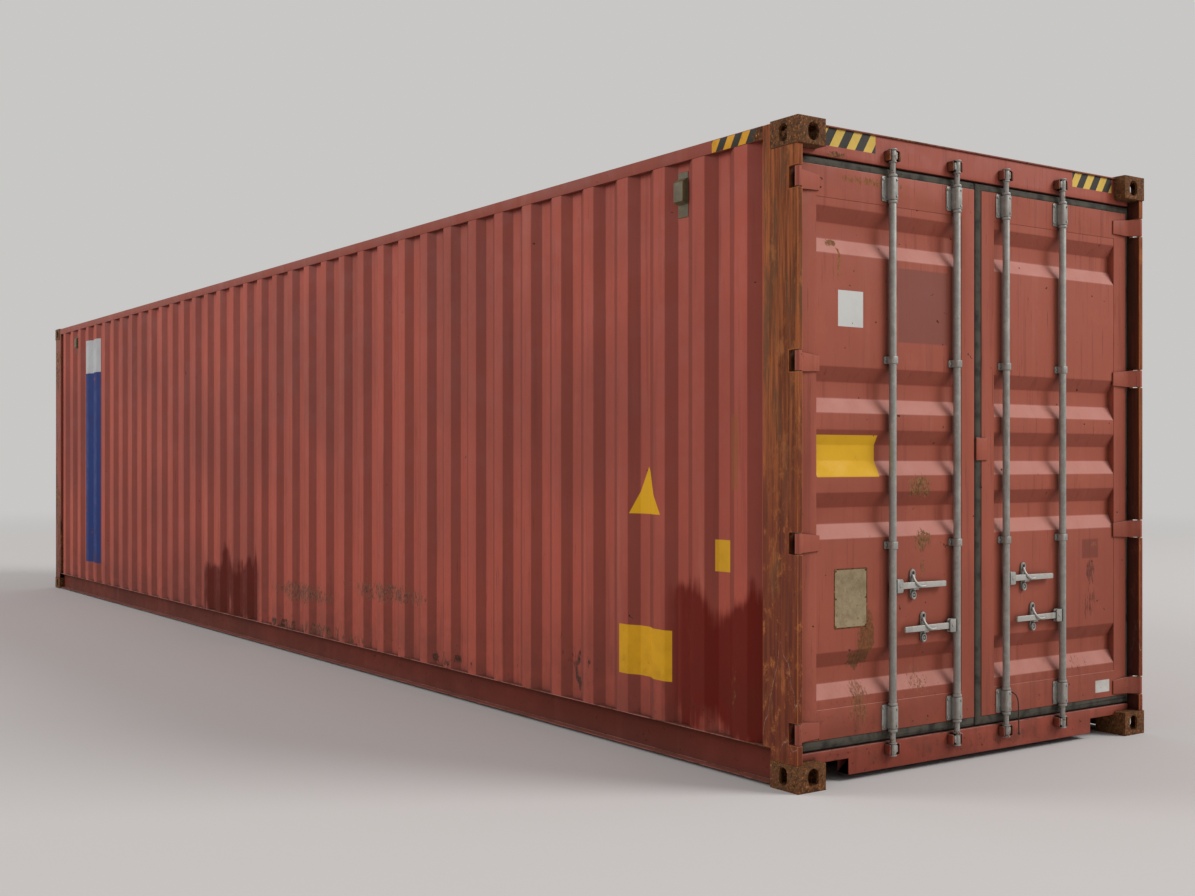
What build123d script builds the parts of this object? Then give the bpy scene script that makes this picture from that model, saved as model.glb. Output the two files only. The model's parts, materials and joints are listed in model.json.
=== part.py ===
from build123d import *
from math import radians, tan
import os

# Shipping container, 40 ft high cube, in millimetres.
# X runs along the container to the door end, -Y is the left side seen by someone facing the doors,
# Z is up. The origin is on the ground at the centre of the footprint.

# Overall size, which the corner castings set
LENGTH = 12192
WIDTH = 2438
HEIGHT = 2896
END = LENGTH / 2
SIDE = WIDTH / 2

# One extra length for every through cut
OVERRUN = 2

# Corner castings
CASTING_LENGTH = 178
CASTING_WIDTH = 162
CASTING_HEIGHT = 118
CASTING_WALL = 14
BEARING_PLATE = 28.5
CASTING_CAP = 12
SLOT_LENGTH = 124.5
SLOT_RADIUS = 31.75
SLOT_FROM_END = 103.5
SLOT_FROM_SIDE = 89.5
HOLE_HEIGHT = 79.5
SIDE_HOLE_WIDTH = 51
END_HOLE_WIDTH = 63.5
HOLE_MIDDLE = 61
HOLE_CORNER_SHARE = 0.42
SIDE_HOLE_FROM_END = 95

# Planes that the plates of the structure share
PLATE_INSET = 3
END_INSET = 6
ROOF_INSET = 6
RAIL_TOP = 172
SILL_TOP = 150
HEADER_HEIGHT = 137
JAMB_WIDTH = 46
OUTER_SIDE = SIDE - PLATE_INSET
OUTER_END = END - END_INSET
CASTING_INNER_X = END - CASTING_LENGTH
CASTING_INNER_Y = SIDE - CASTING_WIDTH
CASTING_UNDER_TOP = HEIGHT - CASTING_HEIGHT
STRUCTURE_TOP = HEIGHT - ROOF_INSET
OPENING_TOP = STRUCTURE_TOP - HEADER_HEIGHT
OPENING_HALF_WIDTH = OUTER_SIDE - JAMB_WIDTH

# Rear corner posts, a nose outside the door edge and a deeper box behind it
POST_WALL = 6
REAR_POST_LENGTH = 224
NOSE_WIDTH = 30
JAMB_DEPTH = 130
REAR_POST_BACK = OUTER_END - REAR_POST_LENGTH
NOSE_INNER = OUTER_SIDE - NOSE_WIDTH
JAMB_X = OUTER_END - JAMB_DEPTH

# Front corner posts, as wide as the castings above and below them
FRONT_POST_LENGTH = 210
FRONT_POST_WIDTH = OUTER_SIDE - CASTING_INNER_Y
FRONT_POST_BACK = OUTER_END - FRONT_POST_LENGTH

# Outline of the door leaves in their opening
LEAF_THICK = 50
LEAF_GAP_BELOW = 50
LEAF_GAP_ABOVE = 41
LEAF_GAP_SIDE = 18
LEAF_BOTTOM = SILL_TOP + LEAF_GAP_BELOW
LEAF_TOP = OPENING_TOP - LEAF_GAP_ABOVE
LEAF_HEIGHT = LEAF_TOP - LEAF_BOTTOM
LEAF_HINGE_EDGE = OPENING_HALF_WIDTH - LEAF_GAP_SIDE
LEFT_LEAF_EDGE = 28
RIGHT_LEAF_EDGE = 24

# Hinges between the posts and the door leaves
HINGE_FROM_BOTTOM = 50
HINGE_FROM_TOP = 75
HINGE_SHARES = (0, 0.342, 0.67, 1)
HINGE_INSET_X = 18
HINGE_INSET_Y = 18
HINGE_X = END - HINGE_INSET_X
HINGE_Y = SIDE - HINGE_INSET_Y
LOWEST_HINGE = LEAF_BOTTOM + HINGE_FROM_BOTTOM
HIGHEST_HINGE = LEAF_TOP - HINGE_FROM_TOP
HINGE_HEIGHTS = [LOWEST_HINGE + share * (HIGHEST_HINGE - LOWEST_HINGE) for share in HINGE_SHARES]
NOTCH_HEIGHT = 94
NOTCH_DEPTH = 57
NOTCH_BACK = OUTER_END - NOTCH_DEPTH
LUG_THICK = 20
PIN_RADIUS = 8
KNUCKLE_RADIUS = 15
KNUCKLE_FIT = 0.3
ARM_HEIGHT = 86
ARM_TIP_DROP = 14
ARM_TIP_RISE = 5
ARM_REACH = 112
ARM_THICK = 13
ARM_ELBOW = 46

# Side rails
RAIL_BOTTOM = 12.5
RAIL_WALL = 4.5
RAIL_DEPTH = 52.5
TOP_RAIL_SIZE = 60
TOP_RAIL_WALL = 3
TOP_RAIL_UNDER = STRUCTURE_TOP - TOP_RAIL_SIZE
RAIL_WEB_INNER = OUTER_SIDE - RAIL_DEPTH

# Corrugated sheets
SHEET = 2
SIDE_SHEET_INSET = 2
SIDE_WALL_LENGTH = REAR_POST_BACK + FRONT_POST_BACK
SIDE_RIB_DEPTH = 32
SIDE_RIB_SLOPE = 68
SIDE_RECESS_WIDTH = 77
LARGEST_RIB_PITCH = 304
SIDE_RIB_COUNT = int(SIDE_WALL_LENGTH / LARGEST_RIB_PITCH) + 1
SIDE_RIB_PITCH = SIDE_WALL_LENGTH / SIDE_RIB_COUNT
ROOF_WAVE_DEPTH = 20
ROOF_WAVE_PITCH = 209
ROOF_WAVE_SLOPE = 22
ROOF_WAVE_FLOOR = 90
ROOF_FLAT_ENDS = 150
ROOF_WAVE_COUNT = int((SIDE_WALL_LENGTH - ROOF_FLAT_ENDS) / ROOF_WAVE_PITCH)
ROOF_SHEET_INSET = 2
FRONT_WALL_HALF = OUTER_SIDE - FRONT_POST_WIDTH
FRONT_WAVE_DEPTH = 44
FRONT_WAVE_PITCH = 250
FRONT_WAVE_SLOPE = 45
FRONT_WAVE_FLOOR = 80
FRONT_WAVE_COUNT = int(2 * FRONT_WALL_HALF / FRONT_WAVE_PITCH)
FRONT_SHEET_INSET = 4
ROOF_END_PLATE = 4

# Door header, door sill and the rails of the front end
BEAM_WALL = 4
BEAM_DEPTH = 72
BEAM_BACK = JAMB_X
BEAM_FACE = BEAM_BACK + BEAM_DEPTH
SILL_BOTTOM = 28
SILL_NOTCH_WIDTH = 200
SILL_NOTCH_TOP = 102
FRONT_RAIL_DEPTH = 60
FRONT_SILL_DEPTH = 50
FRONT_SILL_BOTTOM = 17

# Floor and underframe
FLOOR_THICK = 28
FLOOR_TOP = 167
FLOOR_EDGE_GAP = 0.5
CROSS_BOTTOM = 17
CROSS_FLANGE = 45
CROSS_WALL = 4
CROSS_PITCH = 340
TUNNEL_LENGTH = 3315
TUNNEL_WIDTH = 1029
TUNNEL_WALL = 4
TUNNEL_BACK = TUNNEL_LENGTH - OUTER_END
OUTRIGGER_PITCH = 440
OUTRIGGER_FROM_FRONT = 280
CROSS_FROM_REAR = 210

# Door leaves
LEAF_WALL = 3
HINGE_STILE = 100
CENTRE_STILE = 90
BOTTOM_RAIL = 132
TOP_RAIL = 137
LEAF_FACE = BEAM_FACE
LEAF_BACK = LEAF_FACE - LEAF_THICK
PANEL_INSET = 2
PANEL_FACE = LEAF_FACE - PANEL_INSET
PANEL_DEPTH = 34
PANEL_SLOPE = 68
PANEL_FLOOR = 70
PANEL_MIDDLE = (LEAF_BOTTOM + LEAF_TOP) / 2
PANEL_PITCH = 278
PANEL_OUTER_SHARE = 0.39
PANEL_OUTER = LEAF_HEIGHT * PANEL_OUTER_SHARE
PANEL_CENTRES = (-PANEL_OUTER, -PANEL_PITCH, 0, PANEL_PITCH, PANEL_OUTER)
GASKET_THICK = 38
GASKET_INSET = 4
GASKET_ROUND = 14
GASKET_GAP = 5
CENTRE_GASKET = 44
SEAM_PLATE_WIDTH = 80
SEAM_PLATE_HEIGHT = 109
SEAM_PLATE_ABOVE_MIDDLE = 21
SEAM_PLATE_MIDDLE = PANEL_MIDDLE + SEAM_PLATE_ABOVE_MIDDLE
SEAM_PLATE_THICK = 8
SEAM_PLATE_LEFT = 22

# Sides of the small round fittings whose shape needs no true circle
FEW_SIDES = 12

# Locking bars, their cams and keepers
BAR_RADIUS = 17
BAR_FIT = 0.3
BAR_STAND_OFF = 23
BAR_X = LEAF_FACE + BAR_STAND_OFF
OUTER_BAR_SHARE = 0.524
INNER_BAR_SHARE = 0.152
OUTER_BAR = LEAF_HINGE_EDGE * OUTER_BAR_SHARE
INNER_BAR = LEAF_HINGE_EDGE * INNER_BAR_SHARE
NECK_RADIUS = 13
BAR_PAST_HOOD = 16
CAM_HEIGHT = 50
CAM_HUB = 15
CAM_HORN = 26
CAM_HORN_WIDTH = 20
CAM_HORN_BEVEL = 7
CAM_FROM_OPENING_LOW = 33
CAM_FROM_OPENING_HIGH = 46
CAM_LOW_MIDDLE = SILL_TOP - CAM_FROM_OPENING_LOW
CAM_HIGH_MIDDLE = OPENING_TOP + CAM_FROM_OPENING_HIGH
KEEPER_PLATE = 2
KEEPER_HEIGHT = 46
KEEPER_LUG = 10
KEEPER_LUG_REACH = 34
KEEPER_SIDE_GAP = 6

# Brackets that hold the bars to the leaves
BRACKET_PLATE = 5
BRACKET_WIDTH = 100
BRACKET_HEIGHT = 114
BRACKET_HOOD = 3
BRACKET_HOOD_HEIGHT = 102
BRACKET_FROM_EDGE = 62
BRACKET_LOW = LEAF_BOTTOM + BRACKET_FROM_EDGE
BRACKET_HIGH = LEAF_TOP - BRACKET_FROM_EDGE
CLAMP_WIDTH = 70
CLAMP_HEIGHT = 34
CLAMP_SHARES = (0.334, 0.667)

# Handles, each pinned in a fork on its bar, and the catches under them
HANDLE_FROM_NEXT_BAR = 78.5
HANDLE_LENGTH = OUTER_BAR - INNER_BAR - HANDLE_FROM_NEXT_BAR
HANDLE_THICK = 10
HANDLE_DEEP = 30
HANDLE_HIGH = 852
HANDLE_LOW = 652
FORK_HEIGHT = 62
FORK_REACH = 58
FORK_WEB = 20
FORK_PLATE = 6
HANDLE_FIT = 0.5
RIVET_FROM_BAR = 40
RIVET_RADIUS = 7
CATCH_FROM_OUTER_BAR = 150
CATCH_FROM_INNER_BAR = 210
CATCH_WIDTH = 35
CATCH_PLATE = 6
CATCH_ABOVE = 72
CATCH_BELOW = 64
CATCH_CORNER = 12
CATCH_SLOT_WIDTH = 10
CATCH_SLOT_HEIGHT = 24
CATCH_SLOT_FROM_TOP = 26
SADDLE_THICK = 6
SADDLE_FIT = 0.4
EYE_RADIUS = 14
EYE_HOLE = 7
EYE_THICK = 7
EYE_REACH = 18
EYE_SIDES = 8
HASP_LENGTH = 74
HASP_WIDTH = 24
HASP_THICK = 2.5
HASP_TILT_DEG = 35

# Short rope that ties the right leaf back, by its points in front of the leaf, beside the bar and up
ROPE_RADIUS = 3
ROPE_FLANGE_SHARE = 0.43
ROPE_FROM_BRACKET_MIDDLE = 38
ROPE_POINTS = (
    (BRACKET_PLATE, 0, 0),
    (27, 0, 0),
    (45, 10, -24),
    (40, 22, -82),
    (30, 34, -144),
    (26, 42, -204),
)
ROPE_ARC_SHARE = 0.45

# Ventilator covers high on both sides
VENT_WIDTH = 70
VENT_PLATE_WIDTH = 75
VENT_PLATE_HEIGHT = 215
VENT_FROM_TOP = 322
VENT_BOTTOM = HEIGHT - VENT_FROM_TOP
VENT_PLATE = 3
VENT_HOOD_HEIGHT = 125
VENT_HOOD_ABOVE_PLATE = 61
VENT_HOOD_BOTTOM = VENT_BOTTOM + VENT_HOOD_ABOVE_PLATE
VENT_HOOD_SLOPE = 22
VENT_RIBS_FROM_POST = 2


def block(x, y, z):
    """A box between two limits on each axis."""
    limits = [sorted(pair) for pair in (x, y, z)]
    size = [high - low for low, high in limits]
    middle = [(high + low) / 2 for low, high in limits]
    return Pos(*middle) * Box(*size)


def widened(pair, extra):
    """The same limits with a margin at both ends."""
    return (min(pair) - extra, max(pair) + extra)


def other_side(shape):
    return mirror(shape, about=Plane.XZ)


def other_end(shape):
    return mirror(shape, about=Plane.YZ)


def upside_down(shape):
    """The same casting at the top of the container."""
    return Pos(0, 0, HEIGHT) * mirror(shape, about=Plane.XY)


def tube(x, y, z, wall, along):
    """A hollow rectangular section, open at both ends along one axis."""
    limits = {"x": x, "y": y, "z": z}
    hollow = {
        axis: widened(pair, OVERRUN if axis == along else -wall) for axis, pair in limits.items()
    }
    return block(x, y, z) - block(hollow["x"], hollow["y"], hollow["z"])


def wave_line(starts, length_end, slope, floor, depth):
    """Points along a corrugated line: flat at the face, then down to a floor and back, at each start."""
    points = [(0, 0)]
    for start in starts:
        points += [
            (start, 0),
            (start + slope, depth),
            (start + slope + floor, depth),
            (start + 2 * slope + floor, 0),
        ]
    points.append((length_end, 0))
    return points


def rib_line(count, pitch, slope, recess, depth):
    """Points along a sheet that starts and ends in half a recess, with ribs between the recesses."""
    points = [(0, depth)]
    for index in range(count):
        foot = index * pitch + recess / 2
        far_foot = (index + 1) * pitch - recess / 2
        points += [(foot, depth), (foot + slope, 0), (far_foot - slope, 0), (far_foot, depth)]
    points.append((count * pitch, depth))
    return points


def wave_face(points, thick):
    """The section of a sheet that follows the points and keeps its thickness across the line."""
    back = [(along, depth + thick) for along, depth in reversed(points)]
    return make_face(Polyline(*points, *back, close=True))


def even_starts(length, count, pitch, slope, floor):
    """Where each recess starts when the recesses sit in the middle of the length."""
    recess = 2 * slope + floor
    first = (length - (count - 1) * pitch - recess) / 2
    return [first + pitch * index for index in range(count)]


def save(name, *shapes):
    solids = [solid for shape in shapes for solid in shape.solids()]
    part = solids[0] if len(solids) == 1 else Compound(solids)
    export_step(part, f"parts/{name}.step")


# Corner castings
def rounded_hole(height, width):
    """A tall hole whose corners are cut back, close to the round-ended one of a real casting."""
    return chamfer(Rectangle(height, width).vertices(), width * HOLE_CORNER_SHARE / 2 ** 0.5)


def corner_casting():
    """The rear bottom left casting: a thick bearing plate with a slot, and a hole in two sides."""
    x = (CASTING_INNER_X, END)
    y = (-SIDE, -CASTING_INNER_Y)
    body = block(x, y, (0, CASTING_HEIGHT))
    pocket = block(
        widened(x, -CASTING_WALL), widened(y, -CASTING_WALL), (BEARING_PLATE, CASTING_HEIGHT - CASTING_CAP)
    )
    slot = Pos(END - SLOT_FROM_END, SLOT_FROM_SIDE - SIDE, -OVERRUN) * extrude(
        SlotOverall(SLOT_LENGTH, 2 * SLOT_RADIUS), amount=BEARING_PLATE + 2 * OVERRUN
    )
    depth = CASTING_WALL + 2 * OVERRUN
    side_plane = Plane(
        origin=(END - SIDE_HOLE_FROM_END, -SIDE - OVERRUN, HOLE_MIDDLE), x_dir=(0, 0, 1), z_dir=(0, 1, 0)
    )
    end_plane = Plane(
        origin=(END + OVERRUN, SLOT_FROM_SIDE - SIDE, HOLE_MIDDLE), x_dir=(0, 0, 1), z_dir=(-1, 0, 0)
    )
    side_hole = extrude(
        side_plane * rounded_hole(HOLE_HEIGHT, SIDE_HOLE_WIDTH), amount=depth, dir=(0, 1, 0)
    )
    end_hole = extrude(
        end_plane * rounded_hole(HOLE_HEIGHT, END_HOLE_WIDTH), amount=depth, dir=(-1, 0, 0)
    )
    return body - pocket - slot - side_hole - end_hole


def save_castings():
    rear_left = corner_casting()
    front_left = other_end(rear_left)
    save("corner_castings_rear_bottom", rear_left, other_side(rear_left))
    save("corner_castings_rear_top", upside_down(rear_left), other_side(upside_down(rear_left)))
    save("corner_castings_front_bottom", front_left, other_side(front_left))
    save("corner_castings_front_top", upside_down(front_left), other_side(upside_down(front_left)))


# Corner posts
def post_column(section, back, width):
    """A post section between its castings, with a strip that runs up past them on the inner side."""
    bottom = CASTING_HEIGHT
    column = extrude(Pos(0, 0, bottom) * section, amount=CASTING_UNDER_TOP - bottom)
    below_rail = block(
        (back - OVERRUN, CASTING_INNER_X), (-SIDE, width + OVERRUN - OUTER_SIDE), (0, RAIL_TOP)
    )
    strip = block(
        (back, CASTING_INNER_X),
        (-OUTER_SIDE, width - OUTER_SIDE),
        (CASTING_UNDER_TOP - POST_WALL, STRUCTURE_TOP),
    )
    return column - below_rail + strip


def rear_post():
    """The post beside the door, with four hinge notches cut through its nose."""
    outline = Polyline(
        (REAR_POST_BACK, -OUTER_SIDE),
        (OUTER_END, -OUTER_SIDE),
        (OUTER_END, -NOSE_INNER),
        (JAMB_X, -NOSE_INNER),
        (JAMB_X, -OPENING_HALF_WIDTH),
        (REAR_POST_BACK, -OPENING_HALF_WIDTH),
        close=True,
    )
    outer = make_face(outline)
    section = outer - offset(outer, amount=-POST_WALL, kind=Kind.INTERSECTION)
    post = post_column(section, REAR_POST_BACK, OUTER_SIDE - OPENING_HALF_WIDTH)
    nose = (-OUTER_SIDE, -NOSE_INNER)
    for height in HINGE_HEIGHTS:
        notch = (height - NOTCH_HEIGHT / 2, height + NOTCH_HEIGHT / 2)
        lugs = block((NOTCH_BACK - POST_WALL, OUTER_END), nose, widened(notch, LUG_THICK))
        post += lugs
        post -= block((NOTCH_BACK, END), widened(nose, OVERRUN), notch)
    return post


def hinge_pin(height):
    """The bare length of a pin between the two lugs that hold it."""
    section = Pos(HINGE_X, -HINGE_Y, height - NOTCH_HEIGHT / 2) * RegularPolygon(PIN_RADIUS, FEW_SIDES)
    return extrude(section, amount=NOTCH_HEIGHT)


def front_post():
    """A plain box post at the closed end, drawn at the rear end and mirrored by its caller."""
    outer = make_face(
        Polyline(
            (FRONT_POST_BACK, -OUTER_SIDE),
            (OUTER_END, -OUTER_SIDE),
            (OUTER_END, FRONT_POST_WIDTH - OUTER_SIDE),
            (FRONT_POST_BACK, FRONT_POST_WIDTH - OUTER_SIDE),
            close=True,
        )
    )
    section = outer - offset(outer, amount=-POST_WALL, kind=Kind.INTERSECTION)
    return post_column(section, FRONT_POST_BACK, FRONT_POST_WIDTH)


def save_posts():
    rear = rear_post()
    front = other_end(front_post())
    save("rear_corner_posts", rear, other_side(rear))
    save("front_corner_posts", front, other_side(front))
    pins = [hinge_pin(height) for height in HINGE_HEIGHTS]
    save("hinge_pins", *pins, *[other_side(pin) for pin in pins])


# Rails along both sides
def bottom_side_rail():
    """A channel between the castings, open to the outside."""
    x = (-CASTING_INNER_X, CASTING_INNER_X)
    y = (-OUTER_SIDE, -RAIL_WEB_INNER)
    hollow = block(
        widened(x, OVERRUN),
        (-OUTER_SIDE - OVERRUN, -RAIL_WEB_INNER - RAIL_WALL),
        (RAIL_BOTTOM + RAIL_WALL, RAIL_TOP - RAIL_WALL),
    )
    return block(x, y, (RAIL_BOTTOM, RAIL_TOP)) - hollow


def top_side_rail():
    return tube(
        (-FRONT_POST_BACK, REAR_POST_BACK),
        (-OUTER_SIDE, TOP_RAIL_SIZE - OUTER_SIDE),
        (TOP_RAIL_UNDER, STRUCTURE_TOP),
        TOP_RAIL_WALL,
        "x",
    )


# Sheets
SIDE_FACE = OUTER_SIDE - SIDE_SHEET_INSET


def side_wall():
    """Vertical ribs between the posts, standing on the bottom rail."""
    points = rib_line(SIDE_RIB_COUNT, SIDE_RIB_PITCH, SIDE_RIB_SLOPE, SIDE_RECESS_WIDTH, SIDE_RIB_DEPTH)
    placed = Pos(-FRONT_POST_BACK, -SIDE_FACE, RAIL_TOP) * wave_face(points, SHEET)
    return extrude(placed, amount=TOP_RAIL_UNDER - RAIL_TOP, dir=(0, 0, 1))


def front_wall():
    """Deeper vertical corrugations across the closed end."""
    wide = 2 * FRONT_WALL_HALF
    starts = even_starts(wide, FRONT_WAVE_COUNT, FRONT_WAVE_PITCH, FRONT_WAVE_SLOPE, FRONT_WAVE_FLOOR)
    points = wave_line(starts, wide, FRONT_WAVE_SLOPE, FRONT_WAVE_FLOOR, FRONT_WAVE_DEPTH)
    section = wave_face(points, SHEET)
    plane = Plane(
        origin=(FRONT_SHEET_INSET - OUTER_END, FRONT_WALL_HALF, RAIL_TOP),
        x_dir=(0, -1, 0),
        z_dir=(0, 0, 1),
    )
    return extrude(plane * section, amount=CASTING_UNDER_TOP - RAIL_TOP, dir=(0, 0, 1))


def roof():
    """Shallow corrugations across the roof, with a flat plate at each end."""
    half = OUTER_SIDE - TOP_RAIL_SIZE
    face = STRUCTURE_TOP - ROOF_SHEET_INSET
    starts = even_starts(
        SIDE_WALL_LENGTH, ROOF_WAVE_COUNT, ROOF_WAVE_PITCH, ROOF_WAVE_SLOPE, ROOF_WAVE_FLOOR
    )
    points = wave_line(starts, SIDE_WALL_LENGTH, ROOF_WAVE_SLOPE, ROOF_WAVE_FLOOR, ROOF_WAVE_DEPTH)
    plane = Plane(origin=(REAR_POST_BACK, half, face), x_dir=(-1, 0, 0), z_dir=(0, -1, 0))
    sheet = extrude(plane * wave_face(points, SHEET), amount=2 * half, dir=(0, -1, 0))
    z = (face - ROOF_END_PLATE, face)
    ends = [
        (REAR_POST_BACK, BEAM_BACK, OPENING_HALF_WIDTH),
        (-FRONT_POST_BACK, FRONT_RAIL_DEPTH - OUTER_END, FRONT_WALL_HALF),
    ]
    for start, stop, wide in ends:
        turn = CASTING_INNER_X if start > 0 else -CASTING_INNER_X
        sheet += block((start, turn), (-wide, wide), z)
        sheet += block((start, stop), (-CASTING_INNER_Y, CASTING_INNER_Y), z)
    return sheet


# Beams across both ends
def door_header():
    beam = tube(
        (BEAM_BACK, BEAM_FACE),
        (-CASTING_INNER_Y, CASTING_INNER_Y),
        (OPENING_TOP, STRUCTURE_TOP),
        BEAM_WALL,
        "y",
    )
    for hand in (-1, 1):
        beam += block(
            (BEAM_BACK, BEAM_FACE),
            (hand * (CASTING_INNER_Y - BEAM_WALL), hand * OPENING_HALF_WIDTH),
            (OPENING_TOP, CASTING_UNDER_TOP),
        )
    return beam


def door_sill():
    """The threshold beam, cut away below beside each bottom casting."""
    x = (BEAM_BACK, BEAM_FACE)
    beam = tube(x, (-CASTING_INNER_Y, CASTING_INNER_Y), (SILL_BOTTOM, SILL_TOP), BEAM_WALL, "y")
    for hand in (-1, 1):
        notch = (hand * (CASTING_INNER_Y - SILL_NOTCH_WIDTH), hand * (CASTING_INNER_Y + OVERRUN))
        beam -= block(widened(x, OVERRUN), notch, (0, SILL_NOTCH_TOP))
        beam += block(
            x,
            (hand * (CASTING_INNER_Y - BEAM_WALL), hand * OPENING_HALF_WIDTH),
            (CASTING_HEIGHT, SILL_TOP),
        )
    return beam


def front_top_rail():
    return tube(
        (-OUTER_END, FRONT_RAIL_DEPTH - OUTER_END),
        (-CASTING_INNER_Y, CASTING_INNER_Y),
        (CASTING_UNDER_TOP, STRUCTURE_TOP),
        BEAM_WALL,
        "y",
    )


def front_sill():
    """A beam between the front castings with a gap for the gooseneck tunnel."""
    x = (-OUTER_END, FRONT_SILL_DEPTH - OUTER_END)
    beam = block(x, (-CASTING_INNER_Y, CASTING_INNER_Y), (FRONT_SILL_BOTTOM, RAIL_TOP))
    half_tunnel = TUNNEL_WIDTH / 2 + TUNNEL_WALL
    return beam - block(
        widened(x, OVERRUN), (-half_tunnel, half_tunnel), (0, FLOOR_TOP - FLOOR_THICK)
    )


# Floor and underframe
def floor_boards():
    """The deck between the side rails, narrower between the front posts."""
    half = RAIL_WEB_INNER - FLOOR_EDGE_GAP
    front = FRONT_SILL_DEPTH - OUTER_END
    z = (FLOOR_TOP - FLOOR_THICK, FLOOR_TOP)
    deck = block((front, BEAM_BACK), (-half, half), z)
    for hand in (-1, 1):
        corner = (hand * (FRONT_WALL_HALF - FLOOR_EDGE_GAP), hand * SIDE)
        deck -= block((-END, FLOOR_EDGE_GAP - FRONT_POST_BACK), corner, widened(z, OVERRUN))
    return deck


def cross_member(x, low_y, high_y):
    """A channel under the deck, open towards the front."""
    z = (CROSS_BOTTOM, FLOOR_TOP - FLOOR_THICK)
    body = block((x - CROSS_FLANGE, x), (low_y, high_y), z)
    hollow = block(
        (x - CROSS_FLANGE - OVERRUN, x - CROSS_WALL),
        (low_y - OVERRUN, high_y + OVERRUN),
        widened(z, -CROSS_WALL),
    )
    return body - hollow


def cross_members():
    last = BEAM_BACK - CROSS_FROM_REAR
    first = TUNNEL_BACK + CROSS_FLANGE + FLOOR_EDGE_GAP
    count = round((last - first) / CROSS_PITCH)
    step = (last - first) / count
    beams = [
        cross_member(first + step * index, -RAIL_WEB_INNER, RAIL_WEB_INNER) for index in range(count + 1)
    ]
    start = OUTRIGGER_FROM_FRONT - OUTER_END
    count = round((first - start) / OUTRIGGER_PITCH)
    step = (first - start) / count
    wall = TUNNEL_WIDTH / 2 + TUNNEL_WALL
    for index in range(count):
        arm = cross_member(start + step * index, -RAIL_WEB_INNER, -wall)
        beams += [arm, other_side(arm)]
    return beams


def save_gooseneck_tunnel():
    """The inverted trough under the front of the deck: a top plate on two side plates."""
    half = TUNNEL_WIDTH / 2
    x = (-OUTER_END, TUNNEL_BACK)
    top = FLOOR_TOP - FLOOR_THICK
    save("gooseneck_tunnel_top", block(x, (-half - TUNNEL_WALL, half + TUNNEL_WALL), (top - TUNNEL_WALL, top)))
    wall = block(x, (-half - TUNNEL_WALL, -half), (CROSS_BOTTOM, top - TUNNEL_WALL))
    save("gooseneck_tunnel_walls", wall, other_side(wall))


# Ventilator covers
def ventilator(middle):
    """A plate in a recess of the side wall, with a hood that slopes back at the top."""
    back = SIDE_RIB_DEPTH - SIDE_FACE
    x = (middle - VENT_WIDTH / 2, middle + VENT_WIDTH / 2)
    plate = block(
        (middle - VENT_PLATE_WIDTH / 2, middle + VENT_PLATE_WIDTH / 2),
        (back - VENT_PLATE, back),
        (VENT_BOTTOM, VENT_BOTTOM + VENT_PLATE_HEIGHT),
    )
    top = VENT_HOOD_BOTTOM + VENT_HOOD_HEIGHT
    side = make_face(
        Plane.YZ
        * Polyline(
            (back - VENT_PLATE, VENT_HOOD_BOTTOM),
            (-OUTER_SIDE, VENT_HOOD_BOTTOM + VENT_HOOD_SLOPE / 2),
            (-OUTER_SIDE, top - VENT_HOOD_SLOPE),
            (back - VENT_PLATE, top),
            close=True,
        )
    )
    return plate + extrude(Pos(x[0], 0, 0) * side, amount=VENT_WIDTH, dir=(1, 0, 0))


# Door leaves, drawn on the left side; the right leaf is the mirror image with its own centre edge
def leaf_frame(edge):
    """Hollow stiles and rails in one welded frame, open at the foot of the stiles to drain."""
    x = (LEAF_BACK, LEAF_FACE)
    low, high = -LEAF_HINGE_EDGE, -edge
    frame = block(x, (low, high), (LEAF_BOTTOM, LEAF_TOP))
    window_y = (low + HINGE_STILE, high - CENTRE_STILE)
    window_z = (LEAF_BOTTOM + BOTTOM_RAIL, LEAF_TOP - TOP_RAIL)
    frame -= block(widened(x, OVERRUN), window_y, window_z)
    inner_x = widened(x, -LEAF_WALL)
    for y in ((low, low + HINGE_STILE), (high - CENTRE_STILE, high)):
        frame -= block(inner_x, widened(y, -LEAF_WALL), (LEAF_BOTTOM - OVERRUN, LEAF_TOP - LEAF_WALL))
    rails_y = (low + LEAF_WALL + OVERRUN, high - LEAF_WALL - OVERRUN)
    for z in ((LEAF_BOTTOM, window_z[0]), (window_z[1], LEAF_TOP)):
        frame -= block(inner_x, rails_y, widened(z, -LEAF_WALL))
    return frame


def leaf_panel(edge):
    """Sheet with five level recesses, between the stiles and rails."""
    low_z = LEAF_BOTTOM + BOTTOM_RAIL
    height = LEAF_TOP - TOP_RAIL - low_z
    half = PANEL_SLOPE + PANEL_FLOOR / 2
    starts = [PANEL_MIDDLE + centre - half - low_z for centre in PANEL_CENTRES]
    points = wave_line(starts, height, PANEL_SLOPE, PANEL_FLOOR, PANEL_DEPTH)
    plane = Plane(origin=(PANEL_FACE, -edge - CENTRE_STILE, low_z), x_dir=(0, 0, 1), z_dir=(0, -1, 0))
    width = LEAF_HINGE_EDGE - HINGE_STILE - edge - CENTRE_STILE
    return extrude(plane * wave_face(points, SHEET), amount=width, dir=(0, -1, 0))


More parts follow.
